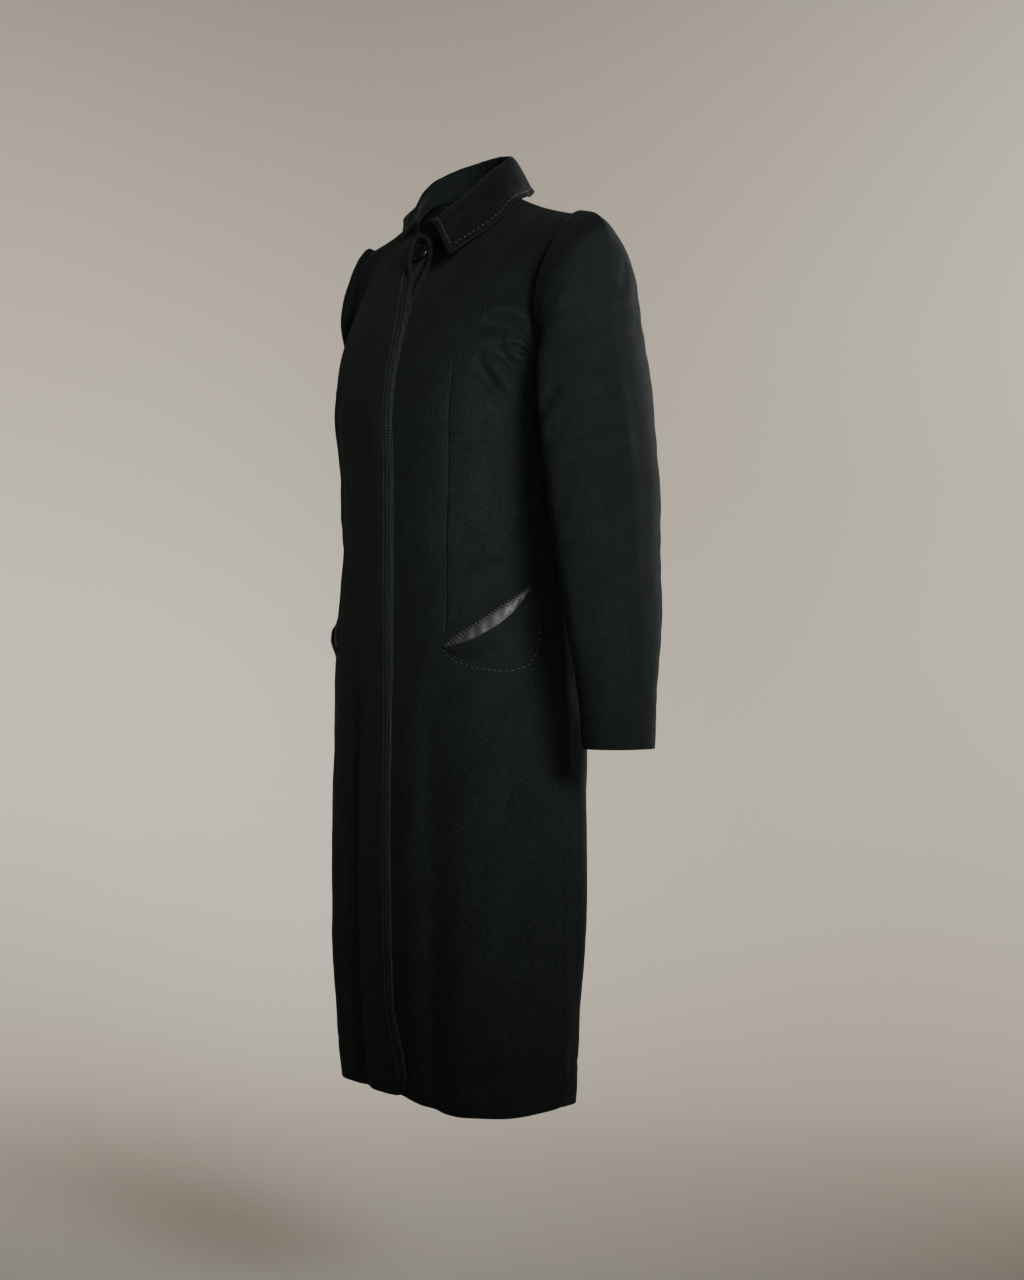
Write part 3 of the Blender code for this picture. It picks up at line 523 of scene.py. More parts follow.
CREASES_LEFT_FRONT = [
    Crease(-0.0060, 0.0058, [(0.134, -0.1780), (0.156, -0.1775), (0.180, -0.1790), (0.210, -0.1830)]),
    Crease(-0.0042, 0.0036, [(0.170, -0.1930), (0.186, -0.1940), (0.208, -0.1960)]),
    Crease(-0.0056, 0.0056, [(0.156, -0.1960), (0.168, -0.2040), (0.1800, -0.2160)]),
    Crease(-0.0054, 0.0070, [(0.132, -0.2060), (0.145, -0.2200), (0.154, -0.2360), (0.162, -0.2540)]),
    Crease(0.0040, 0.0066, [(0.140, -0.1680), (0.176, -0.1620), (0.220, -0.1620)]),
    Crease(0.0032, 0.0034, [(0.164, -0.1880), (0.184, -0.1870), (0.206, -0.1890)]),
    Crease(0.0036, 0.0060, [(0.140, -0.2010), (0.156, -0.2180), (0.168, -0.2320), (0.180, -0.2460)]),
    Crease(0.0012, 0.0120, [(0.118, -0.2100), (0.124, -0.2500), (0.130, -0.3000), (0.132, -0.3600)]),
    Crease(-0.0012, 0.0110, [(0.150, -0.2700), (0.156, -0.3100), (0.158, -0.3600), (0.156, -0.4000)]),
    Crease(-0.0012, 0.0090, [(0.132, -0.4180), (0.150, -0.4130), (0.170, -0.4150), (0.190, -0.4210)]),
    Crease(0.0010, 0.0100, [(0.136, -0.4360), (0.156, -0.4320), (0.180, -0.4360)]),
    Crease(-0.0026, 0.0150, [(0.100, -0.53), (0.0945, -0.60), (0.093, -0.72), (0.090, -0.88), (0.084, -1.01)]),
    Crease(0.0020, 0.0200, [(0.1350, -0.560), (0.1380, -0.700), (0.1400, -0.860), (0.1450, -1.010)]),
    Crease(-0.0016, 0.0160, [(0.1800, -0.600), (0.1840, -0.740), (0.1840, -0.900), (0.1860, -1.010)]),
    Crease(0.0014, 0.0140, [(0.0500, -0.560), (0.0480, -0.700), (0.0500, -0.860), (0.0540, -1.005)]),
    Crease(-0.0010, 0.0100, [(0.0900, -0.0750), (0.1000, -0.1100), (0.1120, -0.1500)]),
    Crease(0.0008, 0.0120, [(0.0600, -0.1500), (0.0800, -0.1750), (0.0900, -0.2300)]),
]
CREASES_RIGHT_FRONT = [
    Crease(-0.0042, 0.0044, [(0.146, -0.1800), (0.164, -0.1780), (0.186, -0.1785), (0.208, -0.1820)]),
    Crease(-0.0044, 0.0050, [(0.134, -0.2100), (0.146, -0.2260), (0.156, -0.2440)]),
    Crease(0.0015, 0.0050, [(0.150, -0.1700), (0.182, -0.1640), (0.220, -0.1600)]),
    Crease(0.0016, 0.0060, [(0.146, -0.2060), (0.160, -0.2240), (0.172, -0.2420)]),
    Crease(-0.0011, 0.0100, [(0.130, -0.4160), (0.152, -0.4190), (0.182, -0.4150)]),
    Crease(-0.0006, 0.0150, [(0.0480, -0.5200), (0.0500, -0.6300), (0.0460, -0.8000), (0.0420, -0.9800)]),
    Crease(0.0006, 0.0180, [(0.0900, -0.5600), (0.0900, -0.7200), (0.0860, -0.8800), (0.0900, -1.0000)]),
    Crease(-0.0018, 0.0160, [(0.1360, -0.5600), (0.1400, -0.7200), (0.1420, -0.9000), (0.1400, -1.0100)]),
    Crease(0.0014, 0.0180, [(0.1850, -0.5900), (0.1860, -0.7600), (0.1900, -0.9600)]),
    Crease(0.0012, 0.0120, [(0.116, -0.2200), (0.124, -0.2600), (0.130, -0.3200)]),
]
CREASES_LEFT_BACK = [
    Crease(-0.0026, 0.0060, [(0.150, -0.1500), (0.168, -0.1640), (0.186, -0.1860), (0.200, -0.2100)]),
    Crease(0.0018, 0.0070, [(0.140, -0.1700), (0.158, -0.1900), (0.172, -0.2160)]),
    Crease(-0.0016, 0.0070, [(0.110, -0.0900), (0.124, -0.1200), (0.136, -0.1600)]),
    Crease(-0.0018, 0.0090, [(0.030, -0.3960), (0.070, -0.4060), (0.112, -0.4020), (0.150, -0.3900)]),
    Crease(0.0014, 0.0110, [(0.040, -0.4220), (0.080, -0.4300), (0.124, -0.4260)]),
    Crease(-0.0024, 0.0150, [(0.1500, -0.5400), (0.1540, -0.7000), (0.1580, -0.8600), (0.1560, -1.0100)]),
    Crease(0.0022, 0.0180, [(0.2060, -0.5600), (0.2080, -0.7200), (0.2120, -0.9000), (0.2120, -1.0050)]),
    Crease(-0.0020, 0.0160, [(0.0800, -0.6200), (0.0840, -0.7800), (0.0900, -0.9400), (0.0920, -1.0100)]),
]
CREASES_RIGHT_BACK = [
    Crease(-0.0024, 0.0064, [(0.148, -0.1560), (0.168, -0.1720), (0.184, -0.1960)]),
    Crease(0.0018, 0.0070, [(0.138, -0.1760), (0.156, -0.1980), (0.168, -0.2240)]),
    Crease(-0.0018, 0.0090, [(0.030, -0.4000), (0.072, -0.3920), (0.120, -0.4000), (0.160, -0.4120)]),
    Crease(-0.0022, 0.0150, [(0.1340, -0.5600), (0.1360, -0.7000), (0.1320, -0.8800), (0.1340, -1.0100)]),
    Crease(0.0020, 0.0170, [(0.2000, -0.5600), (0.2040, -0.7400), (0.2060, -0.9400)]),
    Crease(-0.0018, 0.0160, [(0.0700, -0.6600), (0.0720, -0.8000), (0.0760, -0.9600)]),
]
# Sleeve creases are paths of (turn round the arm as a share of half a turn, height in metres)
CREASES_LEFT_SLEEVE = [
    Crease(0.0016, 0.0070, [(-0.02, -0.13), (-0.03, -0.22), (-0.02, -0.32), (-0.03, -0.45), (-0.05, -0.61)]),
    Crease(-0.0012, 0.0120, [(-0.16, -0.230), (-0.17, -0.330), (-0.17, -0.450), (-0.19, -0.590)]),
    Crease(-0.0014, 0.0056, [(-0.37, -0.235), (-0.44, -0.250), (-0.52, -0.268), (-0.60, -0.276)]),
    Crease(0.0014, 0.0058, [(-0.36, -0.252), (-0.45, -0.270), (-0.55, -0.290)]),
    Crease(-0.0012, 0.0056, [(-0.42, -0.286), (-0.50, -0.300), (-0.60, -0.318)]),
    Crease(-0.0014, 0.0062, [(-0.40, -0.352), (-0.49, -0.372), (-0.58, -0.380)]),
    Crease(-0.0016, 0.0060, [(-1.84, -0.098), (-1.88, -0.112), (-1.94, -0.118)]),
    Crease(0.0012, 0.0060, [(-1.80, -0.125), (-1.86, -0.135), (-1.93, -0.136)]),
    Crease(-0.0013, 0.0060, [(-1.76, -0.160), (-1.82, -0.170), (-1.90, -0.172)]),
    Crease(-0.0020, 0.0070, [(-1.48, -0.360), (-1.56, -0.380), (-1.66, -0.384)]),
    Crease(-0.0016, 0.0070, [(-1.46, -0.410), (-1.56, -0.424), (-1.64, -0.440)]),
    Crease(-0.0018, 0.0100, [(-1.62, -0.300), (-1.61, -0.400), (-1.60, -0.500)]),
    Crease(0.0012, 0.0090, [(-0.72, -0.300), (-0.71, -0.400), (-0.70, -0.520)]),
]
CREASES_RIGHT_SLEEVE = [
    Crease(0.0014, 0.0080, [(-0.06, -0.13), (-0.04, -0.23), (-0.06, -0.34), (-0.04, -0.48), (-0.06, -0.60)]),
    Crease(-0.0020, 0.0056, [(-0.38, -0.240), (-0.46, -0.256), (-0.56, -0.270)]),
    Crease(-0.0018, 0.0056, [(-0.42, -0.300), (-0.52, -0.316), (-0.60, -0.322)]),
    Crease(-0.0016, 0.0060, [(-0.38, -0.366), (-0.50, -0.380), (-0.58, -0.384)]),
    Crease(-0.0020, 0.0070, [(-1.46, -0.364), (-1.56, -0.386), (-1.66, -0.392)]),
    Crease(-0.0016, 0.0070, [(-1.48, -0.424), (-1.58, -0.436), (-1.66, -0.450)]),
    Crease(-0.0016, 0.0100, [(-1.66, -0.290), (-1.64, -0.400), (-1.62, -0.500)]),
]
DART_FRONT = [
    (0.1054, -0.203), (0.1065, -0.245), (0.1077, -0.323), (0.1080, -0.400), (0.1077, -0.475),
    (0.1044, -0.512),
]
DART_BACK = [(0.098, -0.230), (0.094, -0.300), (0.090, -0.390), (0.094, -0.470), (0.100, -0.530)]

# A crease's faint rise on one side: its share of the depth, and how far out it lies in half widths
RISE_BESIDE = 0.28
RISE_AWAY = 1.9

# The panels' and sleeves' points: the zone of close rows at an edge, and the spacing of the others
RIM_ROWS = 0.0014
BODY_LONG = 0.80
BODY_PITCH = 0.0036
UPPER_PITCH = 0.0026
FRONT_COUNT = 104
BACK_COUNT = 84
DART_COLUMN = 0.43
BESIDE_DART = [-0.0022, -0.0015, -0.0010, -0.0006, -0.0003, 0, 0.0003, 0.0006, 0.0010, 0.0015, 0.0022]
DART_KEEP = 0.0026

# Columns of the panels that the turned-in cloth behind the side seams and the centre back seam follows
SIDE_TURNING = [-12, -8, -6, -5, -3, -1]
CENTRE_TURNING = [0, 2, 4, 5, 7, 11]
TURNING_GAP = 0.0005
TURNING_THICK = 0.0012

# Sleeves: points round the upper and under piece, lengths of head and arm, and half the way round in metres
OVER_COUNT = 62
UNDER_COUNT = 38
HEAD_LONG = 0.22
ARM_LONG = 0.36
HEAD_PITCH = 0.0025
ARM_PITCH = 0.0042
HALF_ROUND = 0.16

# Collar: how far inside its edge the stitches run, their pitch, share of thread, radius and rise
COLLAR_INSET = 0.0078
COLLAR_STITCH = (0.0060, 0.34, 0.00040, 0.0004)
COLLAR_TUCK = ((0.0024, 0.0066), (0.0020, 0.0040), (0.0010, 0.0016))
TUCK_SHARES = [-0.06, -0.04, -0.02]

# The fly's edges: points down its face, and where the grooves between its layers lie
FLY_FACE = 33
FLY_GROOVES = [0.22, 0.45, 0.66, 0.84]
FLY_STITCH = (0.0036, 0.6, 0.00020, 0.0003)
EDGE_STITCH = (0.0036, 0.6, 0.0002, 0.0002)
EDGE_INSET = 0.0055

# Pocket: its stitched outline as (share across the panel, level), and its threads
POCKET_OUTLINE = [
    (0.4253, 0.6250), (0.4500, 0.6140), (0.4869, 0.6063), (0.5500, 0.6005), (0.6101, 0.5969),
    (0.6750, 0.5945), (0.7381, 0.5938), (0.8187, 0.6000), (0.8613, 0.6125), (0.8860, 0.6300),
    (0.8945, 0.6500), (0.8945, 0.7000),
]
OUTLINE_STITCH = (0.0064, 0.38, 0.0003, 0.0002)
WHIP_COUNT = 27
WHIP_RADIUS = 0.00062
WHIP_RISE = 0.0009

# The rolled edge of the fly's opening, as the camera sees it from the button's middle, in metres
Edge = namedtuple("Edge", "right up near")
OPENING = [
    Edge(-0.0105, -0.0620, 0.004),
    Edge(-0.0122, -0.0460, 0.005),
    Edge(-0.0134, -0.0300, 0.006),
    Edge(-0.0140, -0.0140, 0.006),
    Edge(-0.0132, 0.0020, 0.006),
    Edge(-0.0098, 0.0150, 0.004),
    Edge(-0.0030, 0.0195, 0.003),
    Edge(0.0045, 0.0170, 0.004),
    Edge(0.0088, 0.0085, 0.006),
    Edge(0.0088, -0.0040, 0.008),
    Edge(0.0052, -0.0180, 0.010),
    Edge(-0.0006, -0.0300, 0.010),
    Edge(-0.0066, -0.0420, 0.009),
    Edge(-0.0104, -0.0540, 0.007),
    Edge(-0.0116, -0.0660, 0.004),
]
OPENING_RADIUS = 0.0027


def spread(path, count):
    """Evenly spaced points along a smooth curve through a path."""
    path = np.asarray(path, float)
    fine = through(np.arange(len(path)), path, np.linspace(0, len(path) - 1, 40 * len(path)))
    at = even_share(fine, np.linspace(0, 1, count)) * (len(fine) - 1)
    return np.stack([np.interp(at, np.arange(len(fine)), axis) for axis in fine.T], -1)


def along(path, s, h):
    """For each place (s, h): its distance from a path and how far along the path it lies, 0 to 1."""
    line = spread(path, 25)
    best = np.full(np.shape(s), 1e9)
    share = np.zeros(np.shape(s))
    side = np.zeros(np.shape(s))
    for i in range(len(line) - 1):
        a, run = line[i], line[i + 1] - line[i]
        t = np.clip(((s - a[0]) * run[0] + (h - a[1]) * run[1]) / (run @ run), 0, 1)
        dx, dy = s - a[0] - t * run[0], h - a[1] - t * run[1]
        gap = np.hypot(dx, dy)
        near = gap < best
        best = np.where(near, gap, best)
        share = np.where(near, (i + t) / (len(line) - 1), share)
        side = np.where(near, np.sign(run[0] * dy - run[1] * dx), side)
    return best, share, side


def crease_lift(creases, s, h):
    """Soft troughs and ridges, deepest before their middle, with a faint rise beside each."""
    lift = np.zeros(np.broadcast(s, h).shape)
    s = np.broadcast_to(s, lift.shape)
    h = np.broadcast_to(h, lift.shape)
    for crease in creases:
        gap, share, side = along(crease.path, s, h)
        ends = np.sin(np.pi * np.clip(share, 0, 1) ** 0.8) ** 0.5
        width = crease.half * (1 + 0.35 * side * share)
        trough = np.exp(-((gap / width) ** 2))
        beside = np.exp(-(((gap - RISE_AWAY * width) / width) ** 2))
        lift += crease.deep * ends * (trough - RISE_BESIDE * beside)
    return lift


def waves(x, y, seed, sizes):
    """Gentle unevenness from a few crossed waves, the same each run."""
    rng = np.random.default_rng(seed)
    total = 0
    for size, deep in sizes:
        for _ in range(5):
            turn = rng.uniform(0, np.pi)
            phase = rng.uniform(0, 2 * np.pi)
            scale = size * rng.uniform(0.7, 1.4)
            run = x * np.cos(turn) + y * np.sin(turn)
            total = total + deep * 0.45 * np.sin(2 * np.pi * run / scale + phase)
    return total


def bell(x, centre, half):
    """1 at the centre, falling softly to 0 on both sides."""
    return np.exp(-(((x - centre) / half) ** 2))


def seam_line(path, s, h):
    """A sewn dart: a fine groove with the cloth drawn in beside it."""
    gap, share, _ = along(path, s, h)
    ends = np.clip(np.minimum(share, 1 - share) * 12, 0, 1)
    pucker = 1 + 0.35 * np.sin(h * 2 * np.pi / 0.011) * bell(gap, 0, 0.005)
    return -ends * pucker * (0.0024 * bell(gap, 0, 0.0008) + 0.0009 * bell(gap, 0, 0.0050))


def edge_rows(total, fine, spacing):
    """Shares of total: close together near both ends for a rounded edge, then evenly spaced."""
    near = np.array([0, 0.08, 0.3, 0.62, 1.0]) * fine
    count = max(2, int(round((total - 2 * fine) / spacing)))
    even = np.linspace(fine, total - fine, count + 1)[1:-1]
    return np.concatenate([near, even, (total - near)[::-1]]) / total


def shell(name, grid, out, from_edge, mat):
    """A closed shell of cloth under a grid of outer points, thinning to a rounded rim."""
    near = np.clip(1 - from_edge / EDGE_ROUND, 0, 1)
    half = CLOTH / 2 * np.sqrt(np.clip(1 - near**2, 0.0016, 1))
    middle = grid - out * CLOTH / 2
    return wall(name, middle + out * half[..., None], middle - out * half[..., None], mat)


def add_mesh(name, points, faces, mat):
    """A smooth-shaded mesh that rides with the coat."""
    mesh = bpy.data.meshes.new(name)
    mesh.from_pydata(points.tolist(), [], faces)
    mesh.materials.append(mat)
    mesh.polygons.foreach_set("use_smooth", [True] * len(mesh.polygons))
    made = bpy.data.objects.new(name, mesh)
    bpy.context.scene.collection.objects.link(made)
    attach(made, "root")
    return made


def quad_faces(a, b, c, d):
    return np.stack([np.ravel(i) for i in (a, b, c, d)], -1)


def wall(name, outer, inner, mat):
    """A thin wall between two grids of points, closed round its rim, turned to face out."""
    rows, cols = outer.shape[:2]
    index = np.arange(rows * cols).reshape(rows, cols)
    deep = index + rows * cols
    rim = np.concatenate([index[0, :-1], index[:-1, -1], index[-1, :0:-1], index[:0:-1, 0]])
    after = np.roll(rim, -1)
    shift = rows * cols
    faces = np.concatenate([
        quad_faces(index[:-1, :-1], index[:-1, 1:], index[1:, 1:], index[1:, :-1]),
        quad_faces(deep[:-1, :-1], deep[1:, :-1], deep[1:, 1:], deep[:-1, 1:]),
        quad_faces(after, rim, rim + shift, after + shift),
    ])
    points = np.concatenate([outer.reshape(-1, 3), inner.reshape(-1, 3)])
    corner = outer[1, 1] - inner[1, 1]
    normal = np.cross(outer[1, 2] - outer[1, 1], outer[2, 1] - outer[1, 1])
    if normal @ corner < 0:
        faces = faces[:, ::-1]
    return add_mesh(name, points, faces.tolist(), mat)


def tube(sections):
    """Points and faces of a closed tube through sections [rows, sides, 3], turned to face out."""
    rows, cols = sections.shape[:2]
    index = np.arange(rows * cols).reshape(rows, cols)
    beside = np.roll(index, -1, 1)
    first, last = np.full(cols, rows * cols), np.full(cols, rows * cols + 1)
    middles = np.stack([sections[0].mean(axis=0), sections[-1].mean(axis=0)])
    points = np.concatenate([sections.reshape(-1, 3), middles])
    faces = [
        quad_faces(index[:-1], beside[:-1], beside[1:], index[1:]),
        np.stack([first, beside[0], index[0]], -1),
        np.stack([last, index[-1], beside[-1]], -1),
    ]
    tris = np.concatenate([faces[0][:, :3], faces[0][:, [0, 2, 3]], faces[1], faces[2]])
    a, b, c = (points[tris[:, k]] - points[0] for k in range(3))
    if np.einsum("ij,ij->", a, np.cross(b, c)) < 0:
        faces = [block[:, ::-1] for block in faces]
    return points, faces


def mesh_from(name, parts, mat):
    """One object from many (points, faces) pairs."""
    points, faces, count = [], [], 0
    for part_points, part_faces in parts:
        points.append(part_points)
        for block in part_faces:
            faces.extend((block + count).tolist())
        count += len(part_points)
    return add_mesh(name, np.concatenate(points), faces, mat)


def stitch(start, end, up, radius, rise):
    """One stitch of thread: a short tube that dips into the cloth at both ends."""
    run = end - start
    across = np.cross(run, up)
    across = across / np.linalg.norm(across)
    turns = np.linspace(0, 2 * np.pi, 6, endpoint=False)
    sections = []
    for t, size in ((0.0, 0.45), (0.14, 0.9), (0.5, 1.0), (0.86, 0.9), (1.0, 0.45)):
        middle = start + run * t + up * (rise * np.sin(np.pi * t) ** 0.6 - 0.3 * radius)
        ring = np.cos(turns)[:, None] * across + np.sin(turns)[:, None] * up * 0.8
        sections.append(middle + ring * radius * size)
    return tube(np.array(sections))


def stitches(points, ways, kind, seed):
    """Running stitches along a line of points, with slightly uneven lengths."""
    pitch, share, radius, rise = kind
    rng = np.random.default_rng(seed)
    run = np.r_[0, np.cumsum(np.linalg.norm(np.diff(points, axis=0), axis=1))]
    made = []
    at = 0.4 * pitch
    while at + pitch * share < run[-1]:
        long = pitch * share * rng.uniform(0.88, 1.1)
        ends = [np.array([np.interp(d, run, points[:, k]) for k in range(3)]) for d in (at, at + long)]
        up = np.array([np.interp(at + long / 2, run, ways[:, k]) for k in range(3)])
        made.append(stitch(ends[0], ends[1], up / np.linalg.norm(up), radius, rise))
        at += pitch * rng.uniform(0.95, 1.05)
    return made


# Materials


def grey(tone):
    return (tone, tone, tone)


def nodes_of(name):
    made = bpy.data.materials.new(name)
    made.use_nodes = True
    tree = made.node_tree
    shader = tree.nodes["Principled BSDF"]
    coords = tree.nodes.new("ShaderNodeTexCoord").outputs["Object"]
    return made, tree, shader, coords


def noise(tree, coords, scale, detail=3.0, rough=0.55, stretch=(1, 1, 1)):
    mapping = tree.nodes.new("ShaderNodeMapping")
    mapping.inputs["Scale"].default_value = stretch
    tree.links.new(coords, mapping.inputs["Vector"])
    made = tree.nodes.new("ShaderNodeTexNoise")
    made.inputs["Scale"].default_value = scale
    made.inputs["Detail"].default_value = detail
    made.inputs["Roughness"].default_value = rough
    tree.links.new(mapping.outputs["Vector"], made.inputs["Vector"])
    return made.outputs["Fac"]


def ramp(tree, value, stops):
    """A value turned into colours through stops of (place, colour)."""
    made = tree.nodes.new("ShaderNodeValToRGB")
    bar = made.color_ramp
    while len(bar.elements) < len(stops):
        bar.elements.new(0.5)
    for element, (place_at, colour) in zip(bar.elements, stops):
        element.position = place_at
        element.color = (*colour, 1)
    tree.links.new(value, made.inputs["Fac"])
    return made.outputs["Color"]


def math(tree, kind, a, b):
    made = tree.nodes.new("ShaderNodeMath")
    made.operation = kind
    for socket, value in zip(made.inputs, (a, b)):
        if isinstance(value, (int, float)):
            socket.default_value = value
        else:
            tree.links.new(value, socket)
    return made.outputs["Value"]


def mix(tree, factor, first, second, kind="MIX"):
    made = tree.nodes.new("ShaderNodeMix")
    made.data_type = "RGBA"
    made.blend_type = kind
    if isinstance(factor, (int, float)):
        made.inputs["Factor"].default_value = factor
    else:
        tree.links.new(factor, made.inputs["Factor"])
    for name, value in (("A", first), ("B", second)):
        socket = [i for i in made.inputs if i.name == name and i.type == "RGBA"][0]
        if isinstance(value, tuple):
            socket.default_value = (*value, 1)
        else:
            tree.links.new(value, socket)
    return [o for o in made.outputs if o.type == "RGBA"][0]


def bump(tree, height, strength, distance, before=None):
    made = tree.nodes.new("ShaderNodeBump")
    made.inputs["Strength"].default_value = strength
    made.inputs["Distance"].default_value = distance
    tree.links.new(height, made.inputs["Height"])
    if before is not None:
        tree.links.new(before, made.inputs["Normal"])
    return made.outputs["Normal"]


def wool(name, dark, light, sheen):
    """Heavy fulled wool: mottled near-black, a nap that lies down the cloth, a few pale specks of lint, and
    painted shade that darkens the faces turned upward.
    """
    made, tree, shader, coords = nodes_of(name)
    broad = noise(tree, coords, 28, 3)
    grain = noise(tree, coords, 560, 6, 0.8, (1.0, 1.0, 0.66))
    fuzz = noise(tree, coords, 1500, 3, 0.7, (1.0, 1.0, 0.6))
    tone = math(tree, "ADD", math(tree, "MULTIPLY", broad, 0.10), math(tree, "MULTIPLY", grain, 0.90))
    colour = ramp(tree, tone, [(0.43, dark), (0.57, light)])
    lint = ramp(tree, noise(tree, coords, 900, 1, 0.4), [(0.80, grey(0)), (0.84, grey(1))])
    colour = mix(tree, math(tree, "MULTIPLY", lint, 0.30), colour, (0.055, 0.056, 0.052))
    # Painted shade: faces turned upward, such as the tops of the shoulders and the collar, are darkened in the
    # base colour down to half.
    parts = tree.nodes.new("ShaderNodeSeparateXYZ")
    tree.links.new(coords.node.outputs["Normal"], parts.inputs["Vector"])
    facing_up = math(tree, "ADD", math(tree, "MULTIPLY", parts.outputs["Z"], 0.5), 0.5)
    painted_top_shade = ramp(tree, facing_up, [(0.49, grey(1)), (0.72, grey(0.50))])
    tree.links.new(mix(tree, 1.0, colour, painted_top_shade, "MULTIPLY"), shader.inputs["Base Color"])
    tree.links.new(ramp(tree, grain, [(0.3, grey(0.78)), (0.7, grey(0.94))]), shader.inputs["Roughness"])
    shader.inputs["Specular IOR Level"].default_value = 0.09
    shader.inputs["Sheen Weight"].default_value = sheen
    shader.inputs["Sheen Roughness"].default_value = 0.42
    shader.inputs["Sheen Tint"].default_value = (0.74, 0.86, 0.83, 1)
    soft = bump(tree, noise(tree, coords, 60, 3), 0.25, 0.0010)
    nap = bump(tree, grain, 0.75, 0.0009, soft)
    tree.links.new(bump(tree, fuzz, 0.7, 0.0003, nap), shader.inputs["Normal"])
    return made


def leather(name):
    """Thin dark glove leather: fine pebbled grain, soft creases, and patches rubbed a little paler."""
    made, tree, shader, coords = nodes_of(name)
    pebble = tree.nodes.new("ShaderNodeTexVoronoi")
    pebble.inputs["Scale"].default_value = 1100
    tree.links.new(coords, pebble.inputs["Vector"])
    creases = noise(tree, coords, 160, 4, 0.6, (1, 1, 2.4))
    broad = noise(tree, coords, 70, 3)
    colour = ramp(tree, broad, [(0.35, (0.0058, 0.0049, 0.0046)), (0.68, (0.0150, 0.0126, 0.0116))])
    tree.links.new(colour, shader.inputs["Base Color"])
    tree.links.new(ramp(tree, creases, [(0.3, grey(0.70)), (0.7, grey(0.54))]), shader.inputs["Roughness"])
    shader.inputs["Specular IOR Level"].default_value = 0.5
    shader.inputs["Coat Weight"].default_value = 0.08
    shader.inputs["Coat Roughness"].default_value = 0.30
    fine = bump(tree, pebble.outputs["Distance"], 0.35, 0.00025)
    tree.links.new(bump(tree, creases, 0.5, 0.0008, fine), shader.inputs["Normal"])
    return made


def thread(name, dark, light):
    """Twisted sewing thread."""
    made, tree, shader, coords = nodes_of(name)
    colour = ramp(tree, noise(tree, coords, 900, 2), [(0.35, dark), (0.65, light)])
    tree.links.new(colour, shader.inputs["Base Color"])
    shader.inputs["Roughness"].default_value = 0.62
    shader.inputs["Sheen Weight"].default_value = 0.3
    twist = noise(tree, coords, 2600, 1, 0.5, (1, 0.4, 1))
    tree.links.new(bump(tree, twist, 0.5, 0.0002), shader.inputs["Normal"])
    return made


def horn(name):
    """Polished black horn-like button with faint streaks."""
    made, tree, shader, coords = nodes_of(name)
    streak = noise(tree, coords, 240, 4, 0.6, (0.3, 1, 1))
    colour = ramp(tree, streak, [(0.4, (0.0014, 0.0014, 0.0016)), (0.75, (0.0045, 0.0040, 0.0038))])
    tree.links.new(colour, shader.inputs["Base Color"])
    polish = ramp(tree, noise(tree, coords, 500, 3), [(0.3, grey(0.16)), (0.7, grey(0.26))])
    tree.links.new(polish, shader.inputs["Roughness"])
    shader.inputs["Specular IOR Level"].default_value = 0.22
    shader.inputs["Coat Weight"].default_value = 0.06
    shader.inputs["Coat Roughness"].default_value = 0.06
    tree.links.new(bump(tree, streak, 0.08, 0.0004), shader.inputs["Normal"])
    return made


# Pieces


def rows_fine():
    """Row levels of a panel: close at the hem and the neck for the rounded edges."""
    hem = edge_rows(BODY_LONG, RIM_ROWS, BODY_PITCH)
    top = edge_rows(UPPER_LONG, RIM_ROWS, UPPER_PITCH)
    return np.concatenate([hem[:-5], [1.0], 1 + SHOULDER_END * top[5:]])


def panel_relief(side, back, u, v):
    """Creases, dart, unevenness, hem stitching and side seam of a panel, as a lift off its plain form."""
    s, h = u * QUARTER, z_of(v)[:, None] + 0 * u
    if back:
        creases = CREASES_LEFT_BACK if side > 0 else CREASES_RIGHT_BACK
        dart = DART_BACK
    else:
        creases = CREASES_LEFT_FRONT if side > 0 else CREASES_RIGHT_FRONT
        dart = DART_FRONT
    lift = crease_lift(creases, s, h) + seam_line(dart, s, h)
    seed = 3 + 2 * side + int(back)
    lift = lift + waves(s, h, seed, [(0.16, 0.0007), (0.06, 0.0004), (0.025, 0.00012)])
    lift = lift + waves(s, h * 0.16, seed + 9, [(0.05, 0.0006)]) * smooth(-h, 0.5, 0.9)
    from_hem = h - Z_HEM
    lift = lift - 0.0007 * bell(from_hem, 0.046, 0.004) + 0.0005 * bell(from_hem, 0.020, 0.016)
    to_side = (1 - u) * QUARTER
    return lift - 0.0012 * bell(to_side, 0, 0.0030) + 0.0006 * bell(to_side, 0.009, 0.006)


def columns_beside_dart(back, across, edge, whole, v):
    """Shares across a panel on each row, drawn sideways so that one column follows the dart."""
    dart = spread(DART_BACK if back else DART_FRONT, 60)[::-1]
    at = (np.interp(z_of(v), dart[:, 1], dart[:, 0])[:, None] / QUARTER - edge) / whole
    first, last = BESIDE_DART[0] / QUARTER, BESIDE_DART[-1] / QUARTER
    away = (across - DART_COLUMN)[None, :]
    low = across[None, :] * (at + first) / (DART_COLUMN + first)
    high = 1 - (1 - across[None, :]) * (1 - at - last) / (1 - DART_COLUMN - last)
    return edge + whole * np.where(away < first, low, np.where(away > last, high, at + away))


